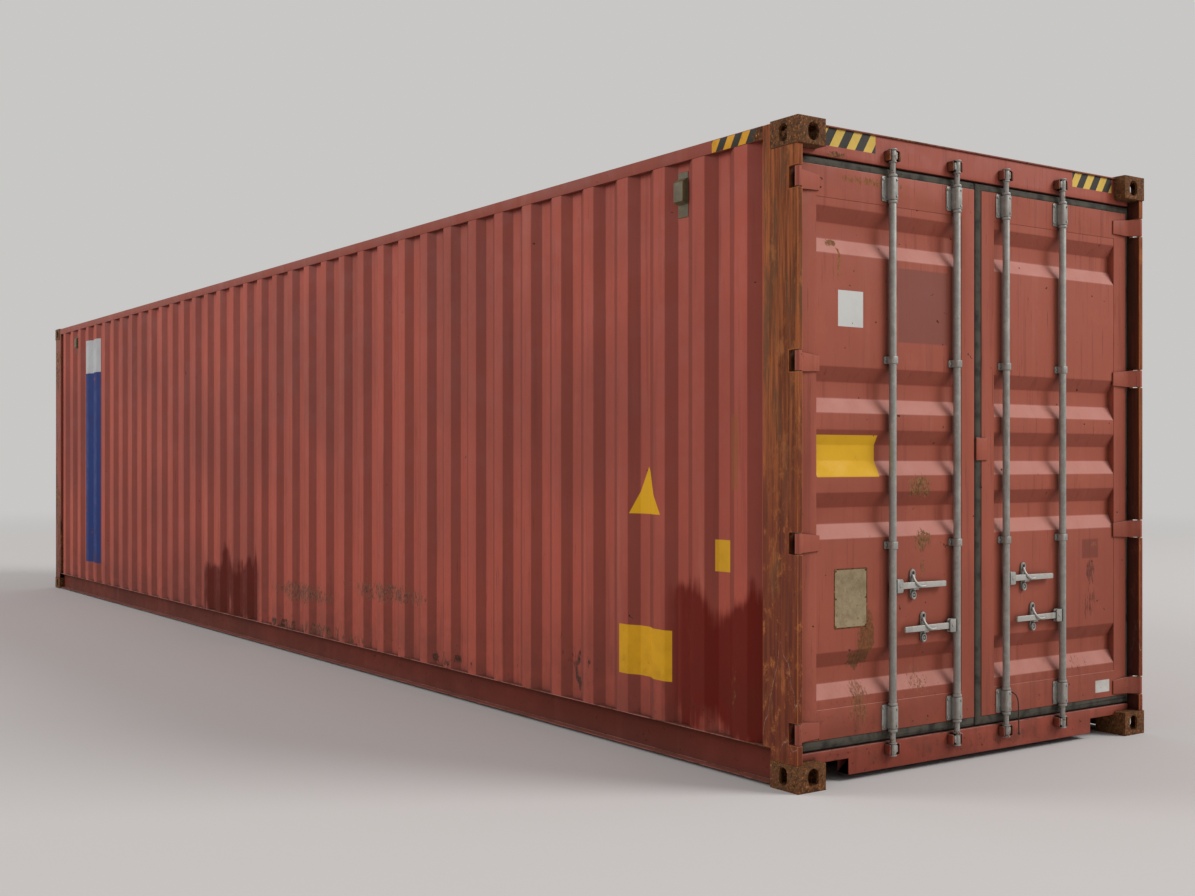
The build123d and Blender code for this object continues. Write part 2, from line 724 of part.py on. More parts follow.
def leaf_gasket(edge, centre_width):
    """A rubber lip around the leaf, and a centre strip where one is asked for."""
    x = (LEAF_FACE - GASKET_INSET - GASKET_THICK, LEAF_FACE - GASKET_INSET)
    outer_z = (SILL_TOP + GASKET_GAP, OPENING_TOP - GASKET_GAP)
    centre = centre_width - edge if centre_width else GASKET_ROUND * 2 - edge
    outer_y = (GASKET_GAP - NOSE_INNER, centre)
    lip = block(x, outer_y, outer_z)
    lip = fillet(lip.faces().filter_by(Axis.X).edges(), GASKET_ROUND)
    lip -= block(widened(x, OVERRUN), (-LEAF_HINGE_EDGE, -edge), (LEAF_BOTTOM, LEAF_TOP))
    if not centre_width:
        lip -= block(widened(x, OVERRUN), (-edge, SIDE), widened(outer_z, OVERRUN))
    return lip


def hinge_arm(height):
    """A knuckle round the pin and a forged arm that bends onto the leaf and narrows to its tip."""
    foot = LEAF_FACE - HINGE_X
    tip = foot + ARM_THICK
    edge = HINGE_Y - LEAF_HINGE_EDGE
    knuckle = RegularPolygon(KNUCKLE_RADIUS, FEW_SIDES)
    bore = RegularPolygon(PIN_RADIUS + KNUCKLE_FIT, FEW_SIDES, major_radius=False)
    inside = KNUCKLE_RADIUS * 0.7
    arm = make_face(
        Polyline(
            (inside, inside),
            (tip + ARM_THICK / 2, ARM_ELBOW),
            (tip, ARM_ELBOW + ARM_THICK),
            (foot + ARM_THICK / 2, edge + ARM_REACH),
            (foot, edge + ARM_REACH),
            (foot, edge + ARM_THICK / 2),
            (-inside, 0),
            (0, -inside),
            close=True,
        )
    )
    section = arm + knuckle - bore
    whole = extrude(Pos(HINGE_X, -HINGE_Y, height - ARM_HEIGHT / 2) * section, amount=ARM_HEIGHT)
    end = edge + ARM_REACH + OVERRUN
    taper_plane = Plane(origin=(LEAF_BACK, -HINGE_Y, height), x_dir=(0, 1, 0), z_dir=(1, 0, 0))
    taper = make_face(
        Polyline(
            (-2 * KNUCKLE_RADIUS, -ARM_HEIGHT / 2),
            (ARM_ELBOW, -ARM_HEIGHT / 2),
            (end, ARM_TIP_RISE - ARM_HEIGHT / 2),
            (end, ARM_HEIGHT / 2 - ARM_TIP_DROP),
            (ARM_ELBOW / 2, ARM_HEIGHT / 2),
            (-2 * KNUCKLE_RADIUS, ARM_HEIGHT / 2),
            close=True,
        )
    )
    return whole & extrude(taper_plane * taper, amount=END - LEAF_BACK, dir=(1, 0, 0))


def bar_bracket(bar_y, height, back, width, plate_height, hood_height):
    """A plate on the leaf with a raised hood that the bar turns in."""
    plate = block(
        (back, LEAF_FACE + BRACKET_PLATE),
        (bar_y - width / 2, bar_y + width / 2),
        (height - plate_height / 2, height + plate_height / 2),
    )
    reach = BAR_RADIUS + BAR_FIT + BRACKET_HOOD
    foot = BAR_X - LEAF_FACE
    hood = RegularPolygon(reach, FEW_SIDES, major_radius=False)
    hood += Pos(-foot / 2, 0) * Rectangle(foot, 2 * reach)
    bore = RegularPolygon(BAR_RADIUS + BAR_FIT, FEW_SIDES, major_radius=False)
    start = Pos(BAR_X, bar_y, height - hood_height / 2)
    return plate + start * extrude(hood - bore, amount=hood_height)


def leaf_brackets(bar_places):
    brackets = []
    for bar_y in bar_places:
        for height in (BRACKET_LOW, BRACKET_HIGH):
            brackets.append(
                bar_bracket(
                    bar_y, height, LEAF_FACE, BRACKET_WIDTH, BRACKET_HEIGHT, BRACKET_HOOD_HEIGHT
                )
            )
        for share in CLAMP_SHARES:
            height = LEAF_BOTTOM + share * LEAF_HEIGHT
            brackets.append(
                bar_bracket(bar_y, height, PANEL_FACE, CLAMP_WIDTH, CLAMP_HEIGHT, CLAMP_HEIGHT)
            )
    return brackets


def handle_catch(place_y, handle_z):
    """A long plate on the leaf with a slot at its head, a saddle under the handle and an eye below."""
    low, high = handle_z - CATCH_BELOW, handle_z + CATCH_ABOVE
    plane = Plane(origin=(PANEL_FACE, place_y, (low + high) / 2), x_dir=(0, 1, 0), z_dir=(1, 0, 0))
    outline = chamfer(Rectangle(CATCH_WIDTH, high - low).vertices(), CATCH_CORNER)
    slot_z = (high - low) / 2 - CATCH_SLOT_FROM_TOP
    outline -= Pos(0, slot_z) * Rectangle(CATCH_SLOT_WIDTH, CATCH_SLOT_HEIGHT)
    catch = extrude(plane * outline, amount=CATCH_PLATE, dir=(1, 0, 0))
    y = (place_y - CATCH_WIDTH / 2, place_y + CATCH_WIDTH / 2)
    saddle_top = handle_z - HANDLE_DEEP / 2 - SADDLE_FIT
    saddle_x = (PANEL_FACE, BAR_X + HANDLE_THICK / 2 - SADDLE_FIT)
    catch += block(saddle_x, y, (saddle_top - SADDLE_THICK, saddle_top))
    eye_plane = Plane(
        origin=(LEAF_FACE + EYE_REACH, place_y + EYE_THICK / 2, low + EYE_RADIUS),
        x_dir=(1, 0, 0),
        z_dir=(0, -1, 0),
    )
    outer = RegularPolygon(EYE_RADIUS, EYE_SIDES, major_radius=False)
    outer += Pos(-EYE_REACH / 2, 0) * Rectangle(EYE_REACH, 2 * EYE_RADIUS)
    eye = outer - RegularPolygon(EYE_HOLE, EYE_SIDES)
    return catch + extrude(eye_plane * eye, amount=EYE_THICK, dir=(0, -1, 0))


# Locking bars and handles; hand is +1 where the handle points to +Y and -1 where it points to -Y
def cam(bar_y, middle, hand):
    """The cam on the bar's end: a hub with one bevelled horn that swings out of its keeper."""
    hub = RegularPolygon(CAM_HUB, FEW_SIDES, major_radius=False)
    half = CAM_HORN_WIDTH / 2
    horn = make_face(
        Polyline(
            (-half, 0),
            (-half, hand * (CAM_HORN - CAM_HORN_BEVEL)),
            (CAM_HORN_BEVEL - half, hand * CAM_HORN),
            (half, hand * CAM_HORN),
            (half, 0),
            close=True,
        )
    )
    low = Pos(BAR_X, bar_y, middle - CAM_HEIGHT / 2)
    return extrude(low * (hub + horn), amount=CAM_HEIGHT, dir=(0, 0, 1))


def handle_fork(bar_y, hand, handle_z):
    """Two plates beside the bar with the rivet that the handle turns on between them."""
    half = HANDLE_THICK / 2 + HANDLE_FIT
    z = (handle_z - FORK_HEIGHT / 2, handle_z + FORK_HEIGHT / 2)
    y = (bar_y, bar_y + hand * FORK_REACH)
    fork = block((BAR_X - half - FORK_PLATE, BAR_X + half + FORK_PLATE), y, z)
    open_y = (bar_y + hand * FORK_WEB, bar_y + hand * (FORK_REACH + OVERRUN))
    fork -= block((BAR_X - half, BAR_X + half), open_y, widened(z, OVERRUN))
    rivet = Plane(origin=(BAR_X - half, bar_y + hand * RIVET_FROM_BAR, handle_z), z_dir=(1, 0, 0))
    return fork + extrude(rivet * RegularPolygon(RIVET_RADIUS, FEW_SIDES), amount=2 * half)


def lock_bar(bar_y, hand, handle_z):
    """A bar past its brackets, with a thinner neck to each cam, and the fork of its handle."""
    past = BRACKET_HOOD_HEIGHT / 2 + BAR_PAST_HOOD
    low, high = BRACKET_LOW - past, BRACKET_HIGH + past
    bar = Pos(BAR_X, bar_y, (low + high) / 2) * Cylinder(BAR_RADIUS, high - low)
    neck = Pos(BAR_X, bar_y, CAM_LOW_MIDDLE) * RegularPolygon(NECK_RADIUS, FEW_SIDES)
    bar += extrude(neck, amount=CAM_HIGH_MIDDLE - CAM_LOW_MIDDLE)
    for cam_middle in (CAM_LOW_MIDDLE, CAM_HIGH_MIDDLE):
        bar += cam(bar_y, cam_middle, hand)
    return bar + handle_fork(bar_y, hand, handle_z)


def handle(bar_y, hand, handle_z, catch_from_bar):
    """A flat bar that turns on its rivet, with a slanted hasp where it crosses the catch."""
    half = HANDLE_DEEP / 2
    plane = Plane(
        origin=(BAR_X - HANDLE_THICK / 2, bar_y, handle_z), x_dir=(0, 1, 0), z_dir=(1, 0, 0)
    )
    start, stop = RIVET_FROM_BAR - half, HANDLE_LENGTH
    outline = Rectangle(stop - start, HANDLE_DEEP)
    outline = chamfer(outline.vertices(), half * HOLE_CORNER_SHARE)
    outline = Pos(hand * (start + stop) / 2, 0) * outline
    bore = RegularPolygon(RIVET_RADIUS + HANDLE_FIT, FEW_SIDES, major_radius=False)
    outline -= Pos(hand * RIVET_FROM_BAR, 0) * bore
    grip = extrude(plane * outline, amount=HANDLE_THICK, dir=(1, 0, 0))
    hasp = Pos(hand * catch_from_bar, 0) * Rot(0, 0, HASP_TILT_DEG) * Rectangle(HASP_WIDTH, HASP_LENGTH)
    return grip + extrude(plane.offset(HANDLE_THICK) * hasp, amount=HASP_THICK, dir=(1, 0, 0))


def cam_keeper(bar_y, middle, hand):
    """A back plate on the beam with a lug on each side of the cam."""
    near = CAM_HUB + KEEPER_SIDE_GAP
    far = CAM_HORN + KEEPER_SIDE_GAP
    z = (middle - KEEPER_HEIGHT / 2, middle + KEEPER_HEIGHT / 2)
    ends = (bar_y - hand * (near + KEEPER_LUG), bar_y + hand * (far + KEEPER_LUG))
    keeper = block((BEAM_FACE, BEAM_FACE + KEEPER_PLATE), ends, z)
    lug_x = (BEAM_FACE, BEAM_FACE + KEEPER_LUG_REACH)
    keeper += block(lug_x, (bar_y - hand * near, ends[0]), z)
    keeper += block(lug_x, (bar_y + hand * far, ends[1]), z)
    return keeper


# Bars from left to right: place, side that the handle points to, handle height, catch distance
BARS = [
    (-OUTER_BAR, 1, HANDLE_HIGH, CATCH_FROM_OUTER_BAR),
    (-INNER_BAR, -1, HANDLE_LOW, CATCH_FROM_INNER_BAR),
    (INNER_BAR, 1, HANDLE_HIGH, CATCH_FROM_OUTER_BAR),
    (OUTER_BAR, -1, HANDLE_LOW, CATCH_FROM_INNER_BAR),
]


def save_locking_gear():
    keepers = []
    for number, (bar_y, hand, handle_z, catch_from_bar) in enumerate(BARS, start=1):
        save(f"lock_bar_{number}", lock_bar(bar_y, hand, handle_z))
        save(f"handle_{number}", handle(bar_y, hand, handle_z, catch_from_bar))
        keepers += [cam_keeper(bar_y, middle, hand) for middle in (CAM_LOW_MIDDLE, CAM_HIGH_MIDDLE)]
    save("cam_keepers", *keepers)


def save_leaf(side, edge, centre_width, bars):
    def placed(shape):
        return shape if side == "left" else other_side(shape)

    save(f"{side}_door_frame", placed(leaf_frame(edge)))
    save(f"{side}_door_panel", placed(leaf_panel(edge)))
    save(f"{side}_door_gasket", placed(leaf_gasket(edge, centre_width)))
    save(f"{side}_door_hinges", *[placed(hinge_arm(height)) for height in HINGE_HEIGHTS])
    save(f"{side}_door_bar_brackets", *leaf_brackets([bar[0] for bar in bars]))
    catches = [handle_catch(y + hand * away, z) for y, hand, z, away in bars]
    save(f"{side}_door_handle_catches", *catches)


def tie_rope():
    """A limp rope that leaves the flange of the right leaf's inner bracket and hangs down."""
    start_y = INNER_BAR + BRACKET_WIDTH * ROPE_FLANGE_SHARE
    start_z = BRACKET_LOW + ROPE_FROM_BRACKET_MIDDLE
    points = [Vector(LEAF_FACE + x, start_y + y, start_z + z) for x, y, z in ROPE_POINTS]
    runs = [after - before for before, after in zip(points, points[1:])]
    radii = []
    for before, after in zip(runs, runs[1:]):
        half_turn = radians(before.get_angle(after) / 2)
        radii.append(ROPE_ARC_SHARE * min(before.length, after.length) / tan(half_turn))
    print("tie rope arcs", [round(radius) for radius in radii])
    path = FilletPolyline(*points, radius=radii)
    section = Plane(origin=path @ 0, z_dir=path % 0) * RegularPolygon(ROPE_RADIUS, EYE_SIDES)
    return sweep(section, path=path)


def seam_plate():
    """The plate on the right leaf that covers the centre gasket."""
    return block(
        (LEAF_FACE, LEAF_FACE + SEAM_PLATE_THICK),
        (-SEAM_PLATE_LEFT, SEAM_PLATE_WIDTH - SEAM_PLATE_LEFT),
        (SEAM_PLATE_MIDDLE - SEAM_PLATE_HEIGHT / 2, SEAM_PLATE_MIDDLE + SEAM_PLATE_HEIGHT / 2),
    )


def main():
    os.makedirs("parts", exist_ok=True)
    save_castings()
    save_posts()
    rail = bottom_side_rail()
    save("bottom_side_rails", rail, other_side(rail))
    rail = top_side_rail()
    save("top_side_rails", rail, other_side(rail))
    wall = side_wall()
    save("side_wall_left", wall)
    save("side_wall_right", other_side(wall))
    save("front_wall", front_wall())
    save("roof", roof())
    save("door_header", door_header())
    save("door_sill", door_sill())
    save("front_top_rail", front_top_rail())
    save("front_sill", front_sill())
    save("floor", floor_boards())
    save("cross_members", *cross_members())
    save_gooseneck_tunnel()
    from_post = VENT_RIBS_FROM_POST * SIDE_RIB_PITCH
    vents = [ventilator(REAR_POST_BACK - from_post), ventilator(from_post - FRONT_POST_BACK)]
    save("ventilators", *vents, *[other_side(vent) for vent in vents])
    save_leaf("left", LEFT_LEAF_EDGE, 0, BARS[:2])
    save_leaf("right", RIGHT_LEAF_EDGE, CENTRE_GASKET, BARS[2:])
    save("right_door_seam_plate", seam_plate())
    save("door_tie_rope", tie_rope())
    save_locking_gear()


main()
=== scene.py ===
"""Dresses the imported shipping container: worn paint, cast corners, locking gear, seals and studio."""

import json
import logging
import math
from dataclasses import dataclass
from enum import Enum
from typing import Any, Callable, Sequence

import bpy
from mathutils import Matrix, Vector

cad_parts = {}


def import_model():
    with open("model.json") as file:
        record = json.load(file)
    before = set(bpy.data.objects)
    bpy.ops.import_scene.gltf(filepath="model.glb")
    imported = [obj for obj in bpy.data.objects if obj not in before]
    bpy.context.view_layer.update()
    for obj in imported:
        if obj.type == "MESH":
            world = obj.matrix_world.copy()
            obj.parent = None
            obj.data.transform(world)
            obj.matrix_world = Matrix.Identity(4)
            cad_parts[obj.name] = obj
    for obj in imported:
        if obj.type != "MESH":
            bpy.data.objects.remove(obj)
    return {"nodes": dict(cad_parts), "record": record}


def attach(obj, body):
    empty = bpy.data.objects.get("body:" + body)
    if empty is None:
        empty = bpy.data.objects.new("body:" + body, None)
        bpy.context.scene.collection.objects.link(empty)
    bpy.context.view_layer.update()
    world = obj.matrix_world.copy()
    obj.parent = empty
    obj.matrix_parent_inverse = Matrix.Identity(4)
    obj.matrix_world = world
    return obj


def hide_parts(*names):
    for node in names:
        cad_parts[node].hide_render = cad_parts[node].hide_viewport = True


LOG = logging.getLogger("container")

# Short names for the types of a material, an object and a shader's socket
Surface = bpy.types.Material
Piece = bpy.types.Object
Socket = Any

# Overall sizes of the container in metres, as in the frame
HALF_LENGTH = 6.096
HALF_WIDTH = 1.219
HEIGHT = 2.896
LEAF_FACE = 6.032
PANEL_FACE = 6.030
BAR_X = 6.055
UP = (0.0, 0.0, 1.0)
OUT = (1.0, 0.0, 0.0)

# How far the bends of the pressed sheets are rounded, in metres
BEND_ROUND = 0.004


# ---------------------------------------------------------------- small helpers
def linear(hex_colour: str) -> tuple[float, float, float, float]:
    """Turn an sRGB hex colour into the linear one that a shader takes.

    Args:
        hex_colour: six hex digits after a hash sign.

    Returns:
        Linear red, green and blue with an alpha of one.
    """
    parts = [int(hex_colour[i : i + 2], 16) / 255 for i in (1, 3, 5)]
    curve = [p / 12.92 if p <= 0.04045 else ((p + 0.055) / 1.055) ** 2.4 for p in parts]
    return (curve[0], curve[1], curve[2], 1.0)


def deselect() -> None:
    """Clear the selection, because the frame's nodes stay selected after they are loaded."""
    if bpy.context.object and bpy.context.object.mode != "OBJECT":
        bpy.ops.object.mode_set(mode="OBJECT")
    bpy.ops.object.select_all(action="DESELECT")


def activate(obj: Piece) -> None:
    """Make one object the only selected and the active one.

    Args:
        obj: the object.
    """
    deselect()
    obj.select_set(True)
    bpy.context.view_layer.objects.active = obj


def bake_place(obj: Piece) -> None:
    """Move an object's place, turn and size into its mesh."""
    activate(obj)
    bpy.ops.object.transform_apply(location=True, rotation=True, scale=True)


def modify(obj: Piece, kind: str, **settings: Any) -> None:
    """Add a modifier with its settings and apply it.

    Args:
        obj: the mesh object to change.
        kind: Blender's name for the modifier type.
        settings: the modifier's properties by name.
    """
    activate(obj)
    modifier = obj.modifiers.new(kind.title(), kind)
    for key, value in settings.items():
        setattr(modifier, key, value)
    bpy.ops.object.modifier_apply(modifier=modifier.name)


def smooth(obj: Piece, degrees: float = 32) -> None:
    """Shade smooth across edges that bend less than the given angle."""
    activate(obj)
    bpy.ops.object.shade_smooth_by_angle(angle=math.radians(degrees))


def select_parts(obj: Piece, mode: str, test: Callable[[Any], bool]) -> None:
    """Enter edit mode with just those points, edges or faces selected that pass a test.

    Args:
        obj: the mesh object.
        mode: VERT, EDGE or FACE.
        test: says of each part of the mesh whether it is selected.
    """
    activate(obj)
    bpy.ops.object.mode_set(mode="EDIT")
    bpy.ops.mesh.select_mode(type=mode)
    bpy.ops.mesh.select_all(action="DESELECT")
    bpy.ops.object.mode_set(mode="OBJECT")
    mesh = obj.data
    for part in {"VERT": mesh.vertices, "EDGE": mesh.edges, "FACE": mesh.polygons}[mode]:
        part.select = test(part)
    bpy.ops.object.mode_set(mode="EDIT")


def leave_edit() -> None:
    """Go back to object mode after a shaping step."""
    bpy.ops.object.mode_set(mode="OBJECT")


def block(name: str, low: Sequence[float], high: Sequence[float]) -> Piece:
    """Add a box between two corners, with its place in its mesh.

    Args:
        name: its name.
        low: its lowest corner.
        high: its highest corner.

    Returns:
        The box.
    """
    deselect()
    size = [b - a for a, b in zip(low, high)]
    middle = [(a + b) / 2 for a, b in zip(low, high)]
    bpy.ops.mesh.primitive_cube_add(size=1, location=middle, scale=size)
    box = bpy.context.object
    box.name = name
    bake_place(box)
    return box


def rod(
    name: str, start: Sequence[float], axis: Sequence[float], radius: float, length: float, sides: int = 32
) -> Piece:
    """Add a round bar from a point along an axis, with its place in its mesh.

    Args:
        name: its name.
        start: the middle of its first end.
        axis: the way it points.
        radius: its radius.
        length: its length.
        sides: how many faces it has round its axis.

    Returns:
        The bar.
    """
    deselect()
    way = Vector(axis).normalized()
    bpy.ops.mesh.primitive_cylinder_add(
        vertices=sides,
        radius=radius,
        depth=length,
        location=Vector(start) + way * length / 2,
        rotation=way.to_track_quat("Z", "Y").to_euler(),
    )
    bar = bpy.context.object
    bar.name = name
    bake_place(bar)
    return bar


def stud(
    name: str, start: Sequence[float], axis: Sequence[float], radius: float, length: float, sides: int,
    rounding: float,
) -> Piece:
    """Add a round bar whose ends' edges are rounded.

    Args:
        name: its name.
        start: the middle of its first end.
        axis: the way it points.
        radius: its radius.
        length: its length.
        sides: how many faces it has round its axis.
        rounding: how far its rounded edges reach.

    Returns:
        The round bar.
    """
    return soften(rod(name, start, axis, radius, length, sides), rounding, 2, 60)


def ring(
    name: str, middle: Sequence[float], axis: Sequence[float], radius: float, thick: float, tall: float = 1.0
) -> Piece:
    """Add a round ring across an axis and stretch it upwards.

    Args:
        name: its name.
        middle: its middle.
        axis: the axis through its hole.
        radius: its radius at the middle of its bar.
        thick: the bar's thickness.
        tall: how many times taller it is made.

    Returns:
        The ring, with its place in its mesh.
    """
    deselect()
    turn = Vector(axis).to_track_quat("Z", "Y").to_euler()
    bpy.ops.mesh.primitive_torus_add(
        major_radius=radius,
        minor_radius=thick / 2,
        major_segments=28,
        minor_segments=10,
        location=middle,
        rotation=turn,
    )
    loop = bpy.context.object
    loop.name = name
    bake_place(loop)
    select_parts(loop, "VERT", lambda part: True)
    bpy.ops.transform.resize(value=(1, 1, tall), center_override=Vector(middle))
    leave_edit()
    return loop


def capsule(
    name: str,
    middle: Sequence[float],
    axis: Sequence[float],
    along: Sequence[float],
    length: float,
    radius: float,
    depth: float,
) -> Piece:
    """Add a bar of round-ended section.

    Args:
        name: the name of the piece.
        middle: its middle.
        axis: the way that the section is swept.
        along: the long way of the section.
        length: the section's length between its round ends' outsides.
        radius: the radius of the round ends.
        depth: how far the section is swept.

    Returns:
        The piece, used as a plate or as a cutter.
    """
    centre, way, long_way = Vector(middle), Vector(axis), Vector(along)
    bar = rod(name, centre - way * depth / 2, axis, radius, depth)
    for sign in (1, -1):
        select_parts(bar, "VERT", lambda part: sign * (part.co - centre).dot(long_way) > 1e-6)
        bpy.ops.transform.translate(value=long_way * sign * (length / 2 - radius))
        leave_edit()
    return bar


def soften(
    obj: Piece, width: float, segments: int = 2, degrees: float = 40, edge_slot: int = -1
) -> Piece:
    """Round a piece's edges and shade it smooth.

    Args:
        obj: the piece.
        width: how far the rounding reaches, in metres.
        segments: how many faces round each edge.
        degrees: edges that bend more than this are rounded.
        edge_slot: the material slot of the rounded edges, or minus one for their neighbours' own.

    Returns:
        The same piece.
    """
    modify(
        obj, "BEVEL", width=width, segments=segments, limit_method="ANGLE", material=edge_slot,
        angle_limit=math.radians(degrees), use_clamp_overlap=True,
    )
    smooth(obj)
    return obj


def strand(
    name: str, start: Sequence[float], steps: Sequence[Sequence[float]], radius: float, fineness: int
) -> Piece:
    """Lay a round strand along one smooth curve.

    Args:
        name: the strand's name.
        start: the place that its steps are counted from.
        steps: the curve's points in millimetres from there.
        radius: the strand's radius in metres.
        fineness: how many lengths each span is drawn with.

    Returns:
        The curve, with its place in its points.
    """
    data = bpy.data.curves.new(name, "CURVE")
    data.dimensions = "3D"
    data.bevel_depth = radius
    data.bevel_resolution = 3
    data.resolution_u = fineness
    data.use_fill_caps = True
    spline = data.splines.new("NURBS")
    spline.points.add(len(steps) - 1)
    for point, step in zip(spline.points, steps):
        point.co = (*(Vector(start) + Vector(step) / 1000), 1)
    spline.order_u = 3
    spline.use_endpoint_u = True
    obj = bpy.data.objects.new(name, data)
    bpy.context.scene.collection.objects.link(obj)
    return obj


def round_corners(
    obj: Piece, axis: int, radius: float, where: Callable[[Vector], bool] = lambda middle: True
) -> Piece:
    """Round those edges of a plate that run along one axis.

    Args:
        obj: the plate.
        axis: the number of the axis across the plate.
        radius: the radius of the rounded corners.
        where: says by an edge's middle whether it is rounded.

    Returns:
        The same plate.
    """

    def wanted(edge: bpy.types.MeshEdge) -> bool:
        """Whether an edge runs along the axis at a place to round."""
        a, b = (obj.data.vertices[i].co for i in edge.vertices)
        return abs(b[axis] - a[axis]) > 0.999 * (b - a).length and where((a + b) / 2)

    select_parts(obj, "EDGE", wanted)
    bpy.ops.mesh.bevel(offset=radius, segments=4, affect="EDGES")
    leave_edit()
    return obj


def cut(obj: Piece, cutter: Piece) -> Piece:
    """Cut one piece out of another and delete the cutter.

    Args:
        obj: the piece.
        cutter: the piece to cut with.

    Returns:
        The cut piece.
    """
    modify(obj, "BOOLEAN", object=cutter, operation="DIFFERENCE", solver="EXACT")
    removed(cutter)
    return obj


def dress(obj: Piece, *materials: Surface) -> None:
    """Give an object its materials, the first for its faces and the next for its worn edges.

    Args:
        obj: the object.
        materials: the materials of its slots.
    """
    marks = [face.material_index for face in obj.data.polygons]
    obj.data.materials.clear()
    for material in materials:
        obj.data.materials.append(material)
    for face, mark in zip(obj.data.polygons, marks):
        face.material_index = min(mark, len(materials) - 1)


def joined(name: str, pieces: Sequence[Piece]) -> Piece:
    """Join several pieces into one named object.

    Args:
        name: the name of the result.
        pieces: the objects to join, the first of which stays.

    Returns:
        The joined object.
    """
    deselect()
    for piece in pieces:
        piece.select_set(True)
    bpy.context.view_layer.objects.active = pieces[0]
    if len(pieces) > 1:
        bpy.ops.object.join()
    result = bpy.context.view_layer.objects.active
    result.name = name
    result.data.name = name
    return result


def copied(
    source: Piece, name: str, place: Sequence[float] = (0, 0, 0), flip: Sequence[float] = (1, 1, 1)
) -> Piece:
    """Copy an object with its own mesh and put it somewhere else.

    Args:
        source: the object to copy.
        name: the copy's name.
        place: how far it is moved.
        flip: one or minus one for each axis, to mirror it about the origin first.

    Returns:
        The copy, with its place in its mesh.
    """
    copy = bpy.data.objects.new(name, source.data.copy())
    bpy.context.scene.collection.objects.link(copy)
    copy.data.transform(Matrix.Translation(Vector(place)) @ Matrix.Diagonal((*flip, 1)))
    if flip[0] * flip[1] * flip[2] < 0:
        copy.data.flip_normals()
    return copy


def removed(obj: Piece) -> None:
    """Delete a pattern piece once its copies are made."""
    bpy.data.objects.remove(obj, do_unlink=True)


# ---------------------------------------------------------------- the frame's nodes
@dataclass
class Frame:
    """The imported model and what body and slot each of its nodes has."""

    nodes: dict[str, Piece]
    body_of: dict[str, str]
    slot_of: dict[str, str]

    @classmethod
    def load(cls) -> "Frame":
        """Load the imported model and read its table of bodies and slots.

        Returns:
            The frame.
        """
        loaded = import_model()
        record = loaded["record"]
        bodies = record["behaviour"]["bodies"]
        body_of = {node: body for body, nodes in bodies.items() for node in nodes}
        slot_of = {part["node"]: part["material_slot"] for part in record["subparts"]}
        return cls(loaded["nodes"], body_of, slot_of)

    def softened(self, node: str, width: float, segments: int) -> Piece:
        """Copy a CAD node, round its edges and give them the second material slot."""
        return soften(self.merged(node), width, segments, 30, edge_slot=1)

    def bent(self, node: str, width: float, segments: int = 3) -> Piece:
        """Copy a corrugated sheet with its long bends rounded and its cut rims left sharp.

        Args:
            node: the sheet's node.
            width: how far each rounded bend reaches, in metres.
            segments: how many faces each bend gets.

        Returns:
            The copy, which replaces the node.
        """
        copy = self.merged(node)
        mesh = copy.data
        sides: dict[tuple[int, int], list[Vector]] = {}
        for face in mesh.polygons:
            for key in face.edge_keys:
                sides.setdefault(key, []).append(face.normal.copy())

        def bend(edge: bpy.types.MeshEdge) -> bool:
            """Whether an edge is a long bend of the sheet.

            Args:
                edge: the edge.

            Returns:
                True for a bend.
            """
            a, b = (mesh.vertices[i].co for i in edge.vertices)
            normals = sides[edge.key]
            if len(normals) != 2 or (b - a).length < 0.3:
                return False
            return 12 < math.degrees(normals[0].angle(normals[1])) < 80

        select_parts(copy, "EDGE", bend)
        bpy.ops.mesh.bevel(offset=width, segments=segments, affect="EDGES", clamp_overlap=True)
        leave_edit()
        smooth(copy, 50)
        return copy

    def merged(self, node: str) -> Piece:
        """Copy a CAD node with its loose triangles merged into whole faces.

        Args:
            node: the node to copy.

        Returns:
            The copy, with two empty material slots.
        """
        copy = copied(self.nodes[node], f"{node}_dressed")
        copy.data.materials.clear()
        for index in range(2):
            copy.data.materials.append(None)
        activate(copy)
        bpy.ops.object.mode_set(mode="EDIT")
        bpy.ops.mesh.select_all(action="SELECT")
        bpy.ops.mesh.remove_doubles(threshold=2e-5)
        bpy.ops.mesh.dissolve_limited(angle_limit=math.radians(0.6))
        leave_edit()
        for face in copy.data.polygons:
            face.material_index = 0
        return copy

    def stands_for(self, obj: Piece, *names: str) -> Piece:
        """Let a finished piece replace these nodes and ride on their body.

        Args:
            obj: the finished piece.
            names: the nodes that it replaces, all on one body.

        Returns:
            The same piece.
        """
        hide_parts(*names)
        return self.joins(obj, names[0])

    def joins(self, obj: Piece, node: str) -> Piece:
        """Let an added piece ride on the body of a node.

        Args:
            obj: the added piece.
            node: the node.

        Returns:
            The same piece.
        """
        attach(obj, self.body_of[node])
        return obj


# ---------------------------------------------------------------- materials
def add_node(
    tree: bpy.types.NodeTree, kind: str, inputs: dict[Any, Any] | None = None, **settings: Any
) -> bpy.types.Node:
    """Add a node with its settings and with its inputs set or linked.

    Args:
        tree: the node tree to add to.
        kind: the node's type name.
        inputs: values or output sockets by input name or number.
        settings: the node's own properties by name.

    Returns:
        The new node.
    """
    node = tree.nodes.new(kind)
    for key, value in settings.items():
        setattr(node, key, value)
    for key, value in (inputs or {}).items():
        socket = node.inputs[key]
        if isinstance(value, bpy.types.NodeSocket):
            tree.links.new(value, socket)
        else:
            socket.default_value = value
    return node


